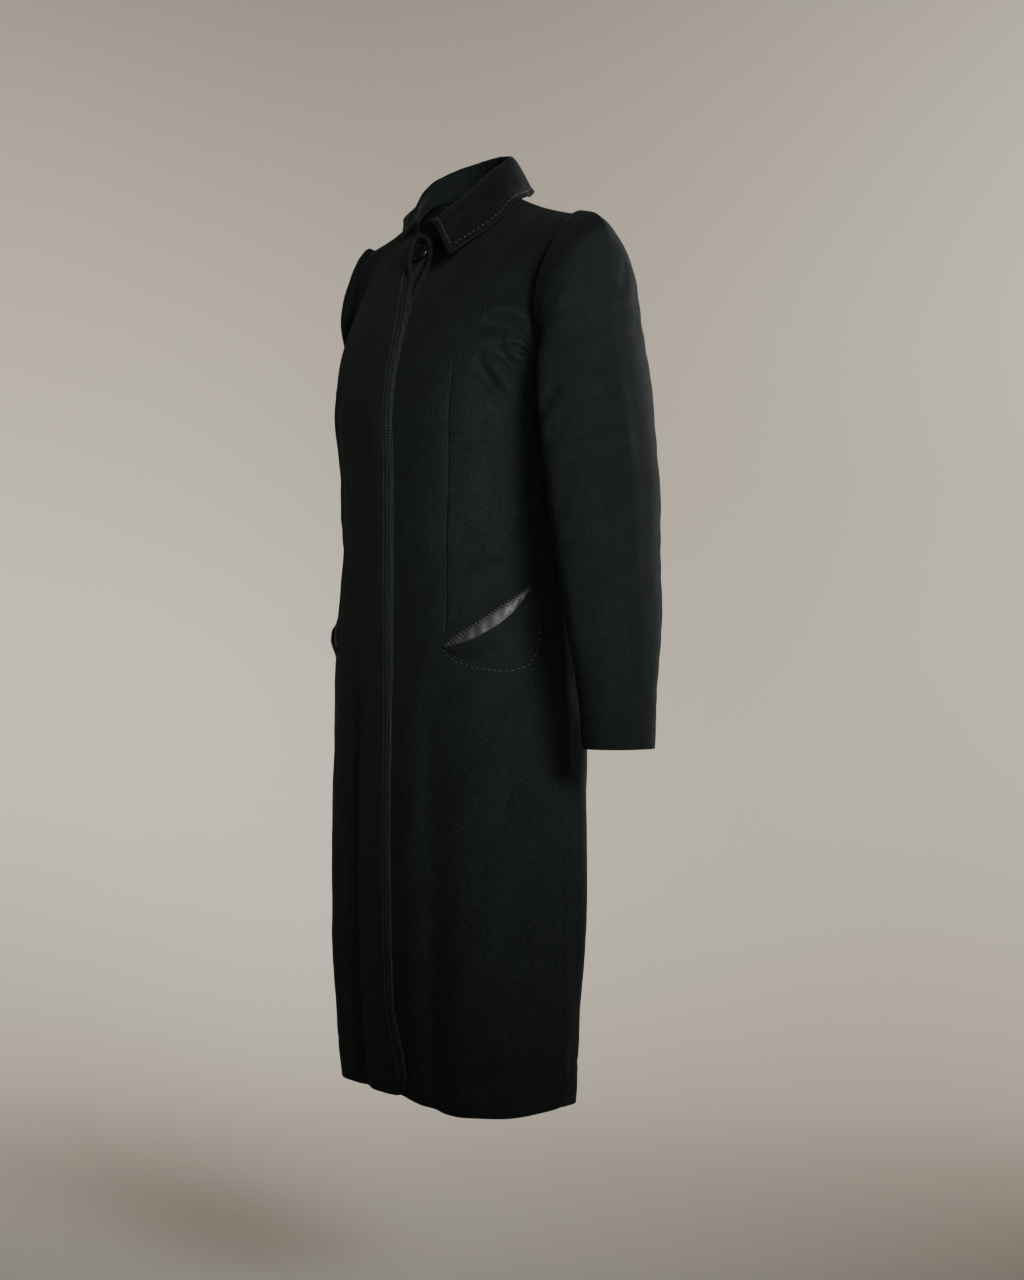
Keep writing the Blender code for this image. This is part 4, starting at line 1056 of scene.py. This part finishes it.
def fine_panel(side, back, count):
    """Outer points, normals, distances from the rim, shares and levels of a panel, in its left-hand form."""
    v = rows_fine()
    edge = edge_share(side, back, v)[:, None]
    whole = 1 - SEAM / QUARTER - edge
    across = edge_rows(QUARTER, RIM_ROWS, QUARTER / count)
    across = across[np.abs(across - DART_COLUMN) > DART_KEEP / QUARTER]
    across = np.sort(np.concatenate([across, DART_COLUMN + np.array(BESIDE_DART) / QUARTER]))
    u = columns_beside_dart(back, across, edge, whole, v)
    grid, out = surface(side, back, u, v)
    out = shared_normals(out, back, u, v)
    rim = np.minimum(u - edge, 1.0) * QUARTER
    to_hem = (v * BODY_LONG)[:, None] + 0 * u
    to_side = (1 - u) * QUARTER
    to_top = ((2 - v) * UPPER_LONG)[:, None] + 0 * u
    calm = np.ones_like(u) if back and side > 0 else smooth(rim, 0.0, 0.016)
    calm = calm * smooth(to_top, 0.0, 0.012) * (0.35 + 0.65 * smooth(to_side, 0.0, 0.02))
    grid = grid + out * (panel_relief(side, back, u, v) * calm)[..., None]
    out = shared_normals(normals_of(grid) * (-1 if back else 1), back, u, v)
    from_edge = np.minimum(np.minimum(rim, to_hem), np.minimum(to_side, to_top))
    return grid, out, from_edge, u, v


def make_cloth_panels(mats):
    """The four panels; each is kept with its points, for what is sewn on it."""
    made = {}
    for side, side_name in ((1, "left"), (-1, "right")):
        for back, part_name in ((False, "front"), (True, "back")):
            name = f"{side_name}_{part_name}"
            grid, out, from_edge, u, v = fine_panel(side, back, BACK_COUNT if back else FRONT_COUNT)
            flip = np.array([side, 1, 1])
            piece = shell(f"cloth_{name}", grid * flip, out * flip, from_edge, mats["wool"])
            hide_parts(name)
            made[name] = (piece, grid, out, u, v)
    return made


def turned_in(panel, rows, columns):
    """Points just inside a panel's cloth, on some of its rows and columns."""
    _, grid, out, _, _ = panel
    return grid[rows][:, columns] - out[rows][:, columns] * (CLOTH + TURNING_GAP)


def make_seam_allowances(panels, mats):
    """The cloth turned in behind the side seams and the centre back seam."""
    levels = rows_fine()
    made = []
    rows = np.arange(3, len(levels))[levels[3:] < 0.99]
    for side, side_name in ((1, "left"), (-1, "right")):
        front = turned_in(panels[f"{side_name}_front"], rows, SIDE_TURNING)
        back = turned_in(panels[f"{side_name}_back"], rows, SIDE_TURNING[::-1])
        strips = np.concatenate([front, back], axis=1) * np.array([side, 1, 1])
        made.append((f"side_seam_turning_{side_name}", strips))
    rows = np.arange(len(levels) - 3)[z_of(levels)[:-3] > VENT_TOP + 0.012]
    left = turned_in(panels["left_back"], rows, CENTRE_TURNING[::-1])
    right = turned_in(panels["right_back"], rows, CENTRE_TURNING) * MIRROR
    made.append(("centre_back_seam_turning", np.concatenate([left, right], axis=1)))
    for name, outer in made:
        way = normals_of(outer)
        if way[2, 5] @ (outer[2, 5] * np.array([1, 1, 0])) < 0:
            way = -way
        piece = wall(name, outer, outer - way * TURNING_THICK, mats["wool"])


def sleeve_relief(side, creases, psi, turn, grid, from_hole, to_cuff):
    """Creases, gathers, flat places, cuff stitching and seams of a sleeve, as a lift off its plain form."""
    h = grid[..., 2]
    flat_turn = np.where(turn < -1.9999, turn + 2, turn)[None, :] + 0 * h
    top = ((1 + np.cos(psi)) / 2)[None, :]
    lift = np.zeros_like(h)
    paths = [Crease(c.deep, c.half, [(a * HALF_ROUND, b) for a, b in c.path]) for c in creases]
    for shift in (0, 2, -2):
        lift = lift + crease_lift(paths, (flat_turn + shift) * HALF_ROUND, h)
    lift = lift + waves(np.sin(psi)[None, :] * 0.05 + 0 * h, h, 20 + side, [(0.09, 0.0007), (0.035, 0.0003)])
    lift = lift + 0.0013 * bell(from_hole, 0.007, 0.006) * top
    lift = lift - 0.0004 * bell(from_hole, 0, 0.0022)
    full = bell(flat_turn, -0.42, 0.24) + bell(flat_turn, -1.62, 0.20) * 0.6
    dying = smooth(from_hole, 0, 0.012) * bell(np.maximum(from_hole, 0.035), 0.035, 0.040)
    lift = lift + 0.0072 * full * dying
    flat = bell(flat_turn, -0.50, 0.10) + 0.7 * bell(flat_turn, -1.55, 0.11)
    lift = lift + 0.0040 * flat * smooth(-h, 0.16, 0.22) * (1 - smooth(-h, 0.48, 0.60))
    gather = np.sin(np.arange(len(psi)) * 1.25) * 0.00035 * bell(from_hole, 0.014, 0.014)
    lift = lift + gather * top
    lift = lift - 0.0006 * bell(to_cuff, 0.045, 0.004) + 0.0004 * bell(to_cuff, 0.018, 0.012)
    for seam_at in (FRONT_SEAM, HIND_SEAM):
        gap = np.abs(turn + seam_at)[None, :] * HALF_ROUND + 0 * h
        lift = lift - 0.0010 * bell(gap, 0, 0.0035)
    return lift * smooth(from_hole, -0.001, 0.004)


def fine_sleeve(side, arm, cap, creases, psi, turn):
    """Outer points, normals and distances from the armhole and the cuff of a whole sleeve."""
    low = arm[-1].z
    head = np.concatenate([edge_rows(HEAD_LONG, RIM_ROWS, HEAD_PITCH)[:-5], [1.0]])
    down = edge_rows(ARM_LONG, RIM_ROWS, ARM_PITCH)[5:]
    grid = sleeve_grid(arm, cap, psi, head, arm[0].z + (low - arm[0].z) * down)
    out = normals_of(grid, wraps=True)
    from_hole = np.concatenate([head * HEAD_LONG, HEAD_LONG + ARM_LONG * down])[:, None] + 0 * grid[..., 2]
    to_cuff = grid[..., 2] - low
    lift = sleeve_relief(side, creases, psi, turn, grid, from_hole, to_cuff)
    grid = grid + out * lift[..., None]
    inward = grid[0].mean(axis=0) - grid[0]
    inward = inward / np.linalg.norm(inward, axis=1, keepdims=True) * 0.0036
    tuck = [grid[0] + inward - np.array([into, 0, 0]) for into in (0.0080, 0.0022)]
    grid = np.concatenate([np.stack(tuck), grid])
    from_hole = np.concatenate([0 * grid[:2, :, 0] + 0.001, from_hole])
    to_cuff = np.concatenate([to_cuff[:1], to_cuff[:1], to_cuff])
    return grid, normals_of(grid, wraps=True), from_hole, to_cuff, len(head) + 2


def make_cloth_sleeves(mats):
    """Both sleeves, each as an upper and an under piece that meet at two seams."""
    psi = np.concatenate([
        np.linspace(HIND_SEAM, FRONT_SEAM + 2, OVER_COUNT + 1)[:-1],
        np.linspace(FRONT_SEAM, HIND_SEAM, UNDER_COUNT + 1)[:-1],
    ])
    turn = -np.where(psi > 2, psi - 2, psi)
    psi = np.pi * turn
    around = OVER_COUNT + UNDER_COUNT
    made = []
    sides = (
        (1, "left", ARM_LEFT, CAP_LEFT, CREASES_LEFT_SLEEVE),
        (-1, "right", ARM_RIGHT, CAP_RIGHT, CREASES_RIGHT_SLEEVE),
    )
    for side, side_name, arm, cap, creases in sides:
        grid, out, from_hole, to_cuff, arm_row = fine_sleeve(side, arm, cap, creases, psi, turn)
        flip = np.array([side, 1, 1])
        for part_name, first, last in (("upper", 0, OVER_COUNT), ("under", OVER_COUNT, around)):
            pick = np.arange(first, last + 1) % around
            piece = grid[:, pick].copy()
            for edge, step in ((0, 1), (-1, -2)):
                way = piece[:, step] - piece[:, edge]
                piece[:, edge] += way / np.linalg.norm(way, axis=1, keepdims=True) * SEAM
            ring = np.r_[0, np.cumsum(np.linalg.norm(np.diff(piece[arm_row], axis=0), axis=1))]
            across = np.minimum(ring, ring[-1] - ring)[None, :]
            from_edge = np.minimum(across, np.minimum(from_hole[:, :1], to_cuff[:, :1]))
            name = f"{side_name}_sleeve_{part_name}"
            obj = shell(f"cloth_{name}", piece * flip, out[:, pick] * flip, from_edge, mats["sleeve_wool_painted_shade"])
            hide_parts(name)
            made.append(obj)
    return made


def collar_points():
    """Middle face of the whole collar, from the left front round the back, with its shares over the fold."""
    first = COLLAR_LEFT[0].q
    q = np.linspace(first, 2, 77)
    q = np.concatenate([[first, first + 0.002, first + 0.005, first + 0.010], q[1:]])
    w = np.concatenate([np.linspace(0, FOLD_SHARE, 12)[:-1], np.linspace(FOLD_SHARE, 1, 34)])
    w = np.concatenate([w[:-1], [0.985, 0.993, 0.998, 1.0]])
    coarse_w = np.array([0.0, 0.12, 0.24, 0.34, 0.42, 0.49, 0.57, 0.68, 0.79, 0.90, 1.0])
    coarse_q = np.linspace(first, 2, 17)
    sides = []
    for table in (COLLAR_LEFT, COLLAR_RIGHT):
        base = collar_grid(table, coarse_q, coarse_w)
        rows = np.stack([through(coarse_w, row, w) for row in base])
        sides.append(np.stack([through(coarse_q, rows[:, k], q) for k in range(len(w))], 1))
    whole = np.concatenate([sides[0], (sides[1] * MIRROR)[-2::-1]])
    out = normals_of(whole)
    rise = whole[:, 2] - whole[:, 0]
    rise = rise / np.linalg.norm(rise, axis=1, keepdims=True)
    tuck = [whole[:, 0] + out[:, 0] * inward - rise * down for inward, down in COLLAR_TUCK]
    return np.concatenate([np.stack(tuck, 1), whole], axis=1), np.concatenate([TUCK_SHARES, w]), len(q)


def rim_distances(grid):
    """How far each point of the collar lies from its outer edge and from its nearer front end."""
    run = np.linalg.norm(np.diff(grid, axis=1), axis=-1)
    to_edge = np.concatenate([np.cumsum(run[:, ::-1], axis=1)[:, ::-1], np.zeros((len(grid), 1))], 1)
    step = np.linalg.norm(np.diff(grid, axis=0), axis=-1)
    from_end = np.concatenate([np.zeros((1, grid.shape[1])), np.cumsum(step, axis=0)])
    return to_edge, np.minimum(from_end, from_end[-1:] - from_end)


def make_cloth_collar(mats):
    """The collar, with its rolled edge, and the pale stitches that run inside it."""
    whole, w, half_count = collar_points()
    out = normals_of(whole)
    to_edge, from_end = rim_distances(whole)
    falls = (w > FOLD_SHARE)[None, :]
    rim = np.where(falls, np.minimum(to_edge, from_end), from_end)
    lift = np.where(falls, 0.0012 * bell(rim, 0.0035, 0.0028) - 0.0003 * bell(rim, 0.0078, 0.0016), 0)
    around = np.arange(len(whole))[:, None] / len(whole)
    lift = lift + waves(around * 0.5, w[None, :] * 0.07, 41, [(0.09, 0.0005), (0.03, 0.0002)])
    lift = lift * np.where(falls, 1, 0.3)
    grid = whole + out * lift[..., None]
    out = normals_of(grid)
    piece = shell("cloth_collar", grid + out * CLOTH / 2, out, np.minimum(rim, to_edge), mats["collar_wool_painted_shade"])
    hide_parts("collar")
    line, ways = [], []
    for i in range(3, len(grid) - 3):
        k = np.interp(COLLAR_INSET, to_edge[i, ::-1], np.arange(len(w))[::-1])
        low = int(np.floor(k))
        t = k - low
        spot = grid[i, low] * (1 - t) + grid[i, min(low + 1, len(w) - 1)] * t
        if from_end[i, low] >= COLLAR_INSET * 0.98:
            line.append(spot + out[i, low] * CLOTH)
            ways.append(out[i, low])
    made = stitches(np.array(line), np.array(ways), COLLAR_STITCH, 5)
    row = int(np.argmin(np.abs(from_end[:half_count, -6] - COLLAR_INSET)))
    for i in (row, len(grid) - 1 - row):
        cols = np.flatnonzero((w > FOLD_SHARE + 0.10) & (to_edge[i] > COLLAR_INSET * 1.02))[::-1]
        made += stitches(grid[i, cols] + out[i, cols] * CLOTH, out[i, cols], COLLAR_STITCH, 6)
    thread_piece = mesh_from("collar_stitches", made, mats["thread_light"])
    return piece, thread_piece


def fly_section(v):
    """The fly's section at level v, as shares and depths: top, far side, underside, then the face from below."""
    z = float(z_of(np.array(v)))
    edge = float(edge_share(-1, False, np.array([v]))[0])
    tab = TAB * np.exp(-(((v - BUTTON_ROW) / TAB_HALF) ** 2)) / QUARTER
    stack = float(smooth(z, FLY_END - 0.7 * FLY_EASE, FLY_END + 0.7 * FLY_EASE))
    deep = FACING_DEEP + (FLY_DEEP - FACING_DEEP) * stack
    deep = deep + TOP_DEEP * float(smooth(v, 1.15, 1.6))
    near = edge + 0.0004 / QUARTER
    far = edge + FLY_WIDE / QUARTER
    top = -(CLOTH + FLY_GAP)
    t = np.linspace(1, 0, FLY_FACE)
    face = near - tab + 0 * t
    for k, groove in enumerate(FLY_GROOVES):
        at = groove + 0.012 * np.sin(v * 23 + 2 * k) + 0.006 * np.sin(v * 71 + k)
        strength = stack if k else 1.0
        face = face + strength * 0.0016 / QUARTER * bell(t, at, 0.040)
    face = face + (0.0011 * np.exp(-(t / 0.06)) + 0.0012 * np.exp(-((1 - t) / 0.07))) / QUARTER
    face = face + (0.0004 * np.sin(v * 57 + 3 * t) + 0.0003 * np.sin(v * 131 - 2 * t)) / QUARTER
    shares = np.concatenate([[near + 0.004, far, far, near + 0.004], face])
    depths = np.concatenate([[top, top, top - 0.35 * deep, top - deep], top - deep * (0.04 + 0.90 * t)])
    return shares, depths


def make_fly_layers(mats):
    """The fly's folded edges, seen as soft ridges and rows of stitches beside the right front's edge."""
    levels = np.concatenate([np.linspace(0.012, 1, 200), np.linspace(1.006, 1.96, 110)])
    sections = []
    for v in levels:
        shares, depths = fly_section(v)
        u = np.linspace(shares.min() - 0.012, shares.max() + 0.012, 31)
        grid, normal = surface(-1, False, np.tile(u, (3, 1)), v + np.array([-0.004, 0, 0.004]))
        spots = np.stack([np.interp(shares, u, grid[1, :, k]) for k in range(3)], -1)
        ways = np.stack([np.interp(shares, u, normal[1, :, k]) for k in range(3)], -1)
        ways = ways / np.linalg.norm(ways, axis=1, keepdims=True)
        sections.append(spots + ways * depths[:, None])
    sections = np.array(sections) * MIRROR
    piece = mesh_from("fly_layers", [tube(sections)], mats["edge_wool_painted_shade"])
    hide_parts("fly_band")
    made = []
    side_way = sections[:, 4 + FLY_FACE // 2] - sections[:, 1]
    side_way = side_way / np.linalg.norm(side_way, axis=1, keepdims=True)
    for column, seed in ((12, 11), (20, 12), (27, 13)):
        made += stitches(sections[:, column] + side_way * 0.0002, side_way, FLY_STITCH, seed)
    mesh_from("fly_stitches", made, mats["thread_dark"])


def make_edge_stitches(panels, mats):
    """A row of stitches just inside the right front's edge."""
    _, grid, out, u, v = panels["right_front"]
    line, ways = [], []
    for i in range(8, len(v) - 8):
        at = u[i, 0] + EDGE_INSET / QUARTER
        line.append([np.interp(at, u[i], grid[i, :, k]) for k in range(3)])
        ways.append([np.interp(at, u[i], out[i, :, k]) for k in range(3)])
    ways = np.array(ways) * MIRROR
    made = stitches(np.array(line) * MIRROR + ways * 0.0002, ways, EDGE_STITCH, 21)
    mesh_from("edge_stitches", made, mats["thread_dark"])


def on_grid(panel, at_u, at_v, off):
    """Points and normals on a fine panel at shares u and levels v, moved out by off."""
    _, grid, out, u, v = panel
    spots, ways = [], []
    for uu, vv, oo in zip(at_u, at_v, off):
        i = int(np.clip(np.searchsorted(v, vv) - 1, 0, len(v) - 2))
        t = (vv - v[i]) / (v[i + 1] - v[i])
        spot, way = (
            np.array([np.interp(uu, u[i], a[i, :, k]) for k in range(3)]) * (1 - t)
            + np.array([np.interp(uu, u[i + 1], a[i + 1, :, k]) for k in range(3)]) * t
            for a in (grid, out)
        )
        way = way / np.linalg.norm(way)
        spots.append(spot + way * oo)
        ways.append(way)
    return np.array(spots), np.array(ways)


def level(z):
    return (z - Z_HEM) / (Z_ARMPIT - Z_HEM)


def pocket_line(t, below):
    """Share across and level of a place at the pocket: t along the mouth's line, and so far below it."""
    u = POCKET_FRONT[0] + (POCKET_BACK[0] - POCKET_FRONT[0]) * t
    z = POCKET_FRONT[1] + (POCKET_BACK[1] - POCKET_FRONT[1]) * t
    run = np.array([(POCKET_BACK[0] - POCKET_FRONT[0]) * QUARTER, POCKET_BACK[1] - POCKET_FRONT[1]])
    run = run / np.linalg.norm(run)
    return u + below * run[1] / QUARTER, level(z - below * run[0])


def welt_sections(panel, steps, bulge):
    """Outer and inner points of the leather strip that fills the mouth, crowned and a little crushed."""
    across = np.linspace(0, 1, 11)
    crown = np.sin(np.pi * np.linspace(0.06, 0.94, 11)) ** 0.6
    high, low = [], []
    for t, deep in zip(steps, bulge):
        u, v = pocket_line(t, across * deep)
        crush = 0.00035 * np.sin(t * 47 + 3 * across) * crown
        high.append(on_grid(panel, u, v, 0.0006 + 0.0016 * crown + crush)[0])
        low.append(on_grid(panel, u, v, np.full(11, 0.0004))[0])
    return np.array(high), np.array(low)


def lip_sections(panel, steps, bulge):
    """Outer points of the turned edge that gapes below the mouth and dies out on the panel."""
    made = []
    for t, deep in zip(steps, bulge):
        stand = LIP_OUT * np.sin(np.pi * t) ** 0.8
        wide = LIP_WIDE * 2.4 * np.sin(np.pi * np.clip(t, 0.004, 0.996)) ** 0.35
        turned = [0.0014, 0.0004, 0.0, 0.0003, 0.0012]
        down = np.concatenate([turned, 0.0012 + wide * np.linspace(0.06, 1, 12) ** 1.3])
        fade = 0.5 + 0.5 * np.cos(np.pi * np.clip((down[5:] - 0.0012) / wide, 0, 1))
        rolled = (stand + 0.0013) * np.array([0.0, 0.55, 0.82, 0.97, 1.0])
        rise = np.concatenate([rolled, (stand + 0.0016) * fade - 0.0006])
        wave = 0.0004 * np.sin(t * 27 + 1.0) * np.sin(np.pi * t)
        u, v = pocket_line(t, deep - 0.0006 + down)
        made.append(on_grid(panel, u, v, 0.0003 + rise + wave * np.clip(rise / 0.002, 0, 1))[0])
    return np.array(made)


def make_pocket_trims(panels, mats):
    """For each pocket: the leather strip, the lip, whip stitches over the mouth, and a stitched outline."""
    steps = np.linspace(0.0, 1.0, 81)
    bulge = POCKET_BULGE * np.maximum(np.sin(np.pi * steps) ** 0.7, 0.12)
    for side, side_name in ((1, "left"), (-1, "right")):
        panel = panels[f"{side_name}_front"]
        flip = np.array([side, 1, 1])
        high, low = welt_sections(panel, steps, bulge)
        welt = wall(f"{side_name}_leather_welt", high * flip, low * flip, mats["leather"])
        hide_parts(f"{side_name}_pocket_welt")
        outer = lip_sections(panel, steps, bulge) * flip
        lip = wall(f"{side_name}_cloth_lip", outer, outer - 0.0009 * normals_of(outer) * side, mats["wool"])
        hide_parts(f"{side_name}_pocket_lip")
        whip = []
        for t in np.linspace(0.02, 0.96, WHIP_COUNT):
            u, v = pocket_line(np.array([t, t + 0.016]), np.array([-0.0014, 0.0050]))
            spots, ways = on_grid(panel, u, v, [0.0006, 0.0024])
            whip.append(stitch(spots[0] * flip, spots[1] * flip, ways[0] * flip, WHIP_RADIUS, WHIP_RISE))
        mesh_from(f"{side_name}_pocket_whip_stitches", whip, mats["thread_black"])
        path = spread(POCKET_OUTLINE, 90)
        spots, ways = on_grid(panel, path[:, 0], path[:, 1], np.full(len(path), 0.0003))
        lines = stitches(spots * flip, ways * flip, OUTLINE_STITCH, 31)
        mesh_from(f"{side_name}_pocket_outline_stitches", lines, mats["thread_mid"])


def button_place():
    """The middle of the button's underside on the fly's tab, and the way it faces."""
    centre, facing = place(-1, False, -BUTTON_X / QUARTER, BUTTON_ROW, BUTTON_GAP - CLOTH - FLY_GAP)
    return centre * MIRROR, facing * MIRROR


def make_fine_button(mats):
    """The top button: a raised rim round a shallow dish."""
    turns = np.linspace(0, 2 * np.pi, 72, endpoint=False)
    underside = [(0.30, 0.0), (0.80, 0.0), (0.93, 0.10)]
    rim = [(1.0, 0.32), (1.0, 0.55), (0.965, 0.80), (0.90, 0.96), (0.83, 1.0), (0.76, 0.94), (0.70, 0.82)]
    dish = [(0.62, 0.72), (0.45, 0.64), (0.28, 0.61), (0.12, 0.60), (0.02, 0.60)]
    profile = underside + rim + dish
    centre, facing = button_place()
    across = np.cross([0, 0, 1.0], facing)
    across = across / np.linalg.norm(across)
    upward = np.cross(facing, across)
    ring = np.cos(turns)[:, None] * across + np.sin(turns)[:, None] * upward
    sections = np.array([centre + ring * BUTTON_R * r + facing * BUTTON_THICK * h for r, h in profile])
    piece = mesh_from("button", [tube(sections)], mats["button"])
    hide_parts("top_button")


def make_fly_opening(mats):
    """The rolled cloth edge that opens round the top button."""
    centre, _ = button_place()
    right_way, near_way, up_way = np.array([COS, SIN, 0]), np.array([SIN, -COS, 0]), np.array([0, 0, 1.0])
    path = spread(OPENING, 90)
    spots = centre + path[:, :1] * right_way + path[:, 1:2] * up_way + path[:, 2:] * near_way
    runs = np.gradient(spots, axis=0)
    runs = runs / np.linalg.norm(runs, axis=1, keepdims=True)
    across = np.cross(runs, near_way)
    across = across / np.linalg.norm(across, axis=1, keepdims=True)
    turns = np.linspace(0, 2 * np.pi, 14, endpoint=False)[:, None, None]
    share = np.linspace(0, 1, len(path))
    ends = 0.5 + 0.5 * smooth(np.minimum(share, 1 - share), 0, 0.10)
    thick = OPENING_RADIUS * ends * (1 + 0.06 * np.sin(share * 61))
    groove = 1 - 0.16 * bell(turns, np.pi / 2, 0.30)
    ring = (np.cos(turns) * across[None] + 0.8 * np.sin(turns) * near_way) * groove
    sections = spots[:, None] + np.swapaxes(ring, 0, 1) * thick[:, None, None]
    mesh_from("fly_opening_edge", [tube(sections)], mats["edge_wool_painted_shade"])


MATS = {
    "wool": wool("heavy_wool", (0.0030, 0.0045, 0.0042), (0.0096, 0.0125, 0.0119), 0.035),
    # The sleeves use a darker copy of the coat's wool: painted shade on the sleeves, not a different cloth.
    "sleeve_wool_painted_shade": wool("heavy_wool_sleeve_painted_shade", (0.0025, 0.0038, 0.0036), (0.0080, 0.0105, 0.0100), 0.03),
    # The collar uses a darker copy of the coat's wool: painted shade on the collar, not a different cloth.
    "collar_wool_painted_shade": wool("heavy_wool_collar_painted_shade", (0.0022, 0.0032, 0.0030), (0.0068, 0.0089, 0.0085), 0.03),
    # The fly's folded edges and the opening's rolled edge use a darker copy of the coat's wool: painted shade,
    # not a different cloth.
    "edge_wool_painted_shade": wool("wool_fold_edges_painted_shade", (0.0022, 0.0033, 0.0031), (0.0060, 0.0079, 0.0075), 0.04),
    "leather": leather("dark_leather"),
    "button": horn("black_horn"),
    "thread_light": thread("collar_thread", (0.030, 0.032, 0.030), (0.085, 0.088, 0.082)),
    "thread_mid": thread("outline_thread", (0.008, 0.009, 0.009), (0.022, 0.024, 0.023)),
    "thread_dark": thread("dark_thread", (0.006, 0.0065, 0.0065), (0.018, 0.019, 0.019)),
    "thread_black": thread("pocket_thread", (0.0020, 0.0022, 0.0022), (0.0060, 0.0064, 0.0062)),
}

panels = make_cloth_panels(MATS)
make_seam_allowances(panels, MATS)
sleeves = make_cloth_sleeves(MATS)
collar, collar_thread = make_cloth_collar(MATS)
make_fly_layers(MATS)
make_edge_stitches(panels, MATS)
make_pocket_trims(panels, MATS)
make_fine_button(MATS)
make_fly_opening(MATS)

# A record for the cut of a piece: its width and length lying flat, its area, in metres, and what it rests on; no
# piece is given one here
Cut = namedtuple("Cut", "flat area rests_on")

# Camera, floor and light. The floor's paper runs so far each way and bends up behind the coat
GROUND = -1.345
FLOOR_HALF = 7.0
BEND_FROM = 1.6
BEND_RADIUS = 1.2
PAPER_TOP = 5.0
SENSOR = 36
FOCAL_PIXELS = 2574.5
FRAME_PIXELS = 1280

camera = bpy.data.objects.new("camera", bpy.data.cameras.new("camera"))
bpy.context.scene.collection.objects.link(camera)
camera.location = (SIN * FAR + COS * ASIDE, -COS * FAR + SIN * ASIDE, EYE)
camera.rotation_mode = "XYZ"
camera.rotation_euler = (np.pi / 2, 0, np.arctan2(SIN, COS))
camera.data.sensor_width = SENSOR
camera.data.lens = SENSOR * FOCAL_PIXELS / FRAME_PIXELS
camera.data.clip_end = 100
bpy.context.scene.camera = camera


def plain(name, colour, rough):
    """Smooth paper with a hardly visible change of tone."""
    made, tree, shader, coords = nodes_of(name)
    soft = noise(tree, coords, 0.8, 2)
    darker = tuple(0.96 * c for c in colour)
    tree.links.new(ramp(tree, soft, [(0.3, darker), (0.7, colour)]), shader.inputs["Base Color"])
    shader.inputs["Roughness"].default_value = rough
    return made


def make_floor():
    """A plain pale floor that curves up behind the coat."""
    bend = np.linspace(0.1, np.pi / 2, 10)
    curve = [(BEND_FROM + BEND_RADIUS * np.sin(a), BEND_RADIUS - BEND_RADIUS * np.cos(a)) for a in bend]
    profile = [(-FLOOR_HALF, 0.0), (BEND_FROM, 0.0)] + curve + [(BEND_FROM + BEND_RADIUS, PAPER_TOP)]
    points = [(x, y, z) for x in (-FLOOR_HALF, FLOOR_HALF) for y, z in profile]
    n = len(profile)
    faces = [(i, i + 1, n + i + 1, n + i) for i in range(n - 1)]
    turn = np.arctan2(SIN, COS)
    cos, sin = np.cos(turn), np.sin(turn)
    placed = [(x * cos - y * sin, x * sin + y * cos, z + GROUND) for x, y, z in points]
    mesh = bpy.data.meshes.new("floor")
    mesh.from_pydata(placed, [], faces)
    mesh.polygons.foreach_set("use_smooth", [True] * len(mesh.polygons))
    mesh.materials.append(plain("floor_paper", (0.60, 0.550, 0.478), 0.9))
    floor = bpy.data.objects.new("floor", mesh)
    bpy.context.scene.collection.objects.link(floor)


def area_light(name, place_at, target, size, power, colour, spread):
    """A soft rectangular light at one place, aimed at another, in watts and degrees."""
    data = bpy.data.lights.new(name, "AREA")
    data.shape = "RECTANGLE"
    data.size, data.size_y = size
    data.energy = power
    data.color = colour
    data.spread = np.radians(spread)
    lamp = bpy.data.objects.new(name, data)
    bpy.context.scene.collection.objects.link(lamp)
    aim = np.array(target, float) - np.array(place_at, float)
    lamp.location = place_at
    flat = np.hypot(aim[0], aim[1])
    lamp.rotation_mode = "XYZ"
    lamp.rotation_euler = (np.arctan2(flat, -aim[2]), 0, np.arctan2(-aim[0], aim[1]))


def seen(right, up, near):
    """A place given from the camera's side: metres to its right, above the origin, and towards it."""
    return (COS * right + SIN * near, SIN * right - COS * near, up)


make_floor()
area_light("key", seen(1.14, 0.60, 2.55), (0.10, -0.08, -0.21), (1.6, 1.0), 10.2, (1.0, 1.0, 0.985), 31)
area_light("fill", seen(0.04, -0.45, 3.1), (0, 0, -0.28), (1.0, 0.8), 2.0, (0.96, 1.0, 0.985), 38)
area_light("side", seen(2.7, 0.2, 0.3), (0.22, -0.02, -0.35), (0.8, 1.2), 0.6, (1.0, 1.0, 0.99), 36)
area_light("back", seen(1.8, 0.9, -2.2), (0, 0, -0.45), (1.2, 1.2), 4.5, (1.0, 1.0, 1.0), 40)
paper_right, paper_left = seen(0.9, -0.4, -2.8), seen(-0.9, -0.3, -2.8)
area_light("backdrop_right", seen(2.7, 0.9, -0.9), paper_right, (1.0, 1.6), 38, (1.0, 0.95, 0.89), 110)
area_light("backdrop_left", seen(-2.4, 1.2, -1.0), paper_left, (1.0, 1.4), 12.6, (1.0, 0.91, 0.81), 80)

world = bpy.data.worlds.new("world")
bpy.context.scene.world = world
world.use_nodes = True
world.node_tree.nodes["Background"].inputs["Color"].default_value = (0.70, 0.80, 0.78, 1)
world.node_tree.nodes["Background"].inputs["Strength"].default_value = 0.10
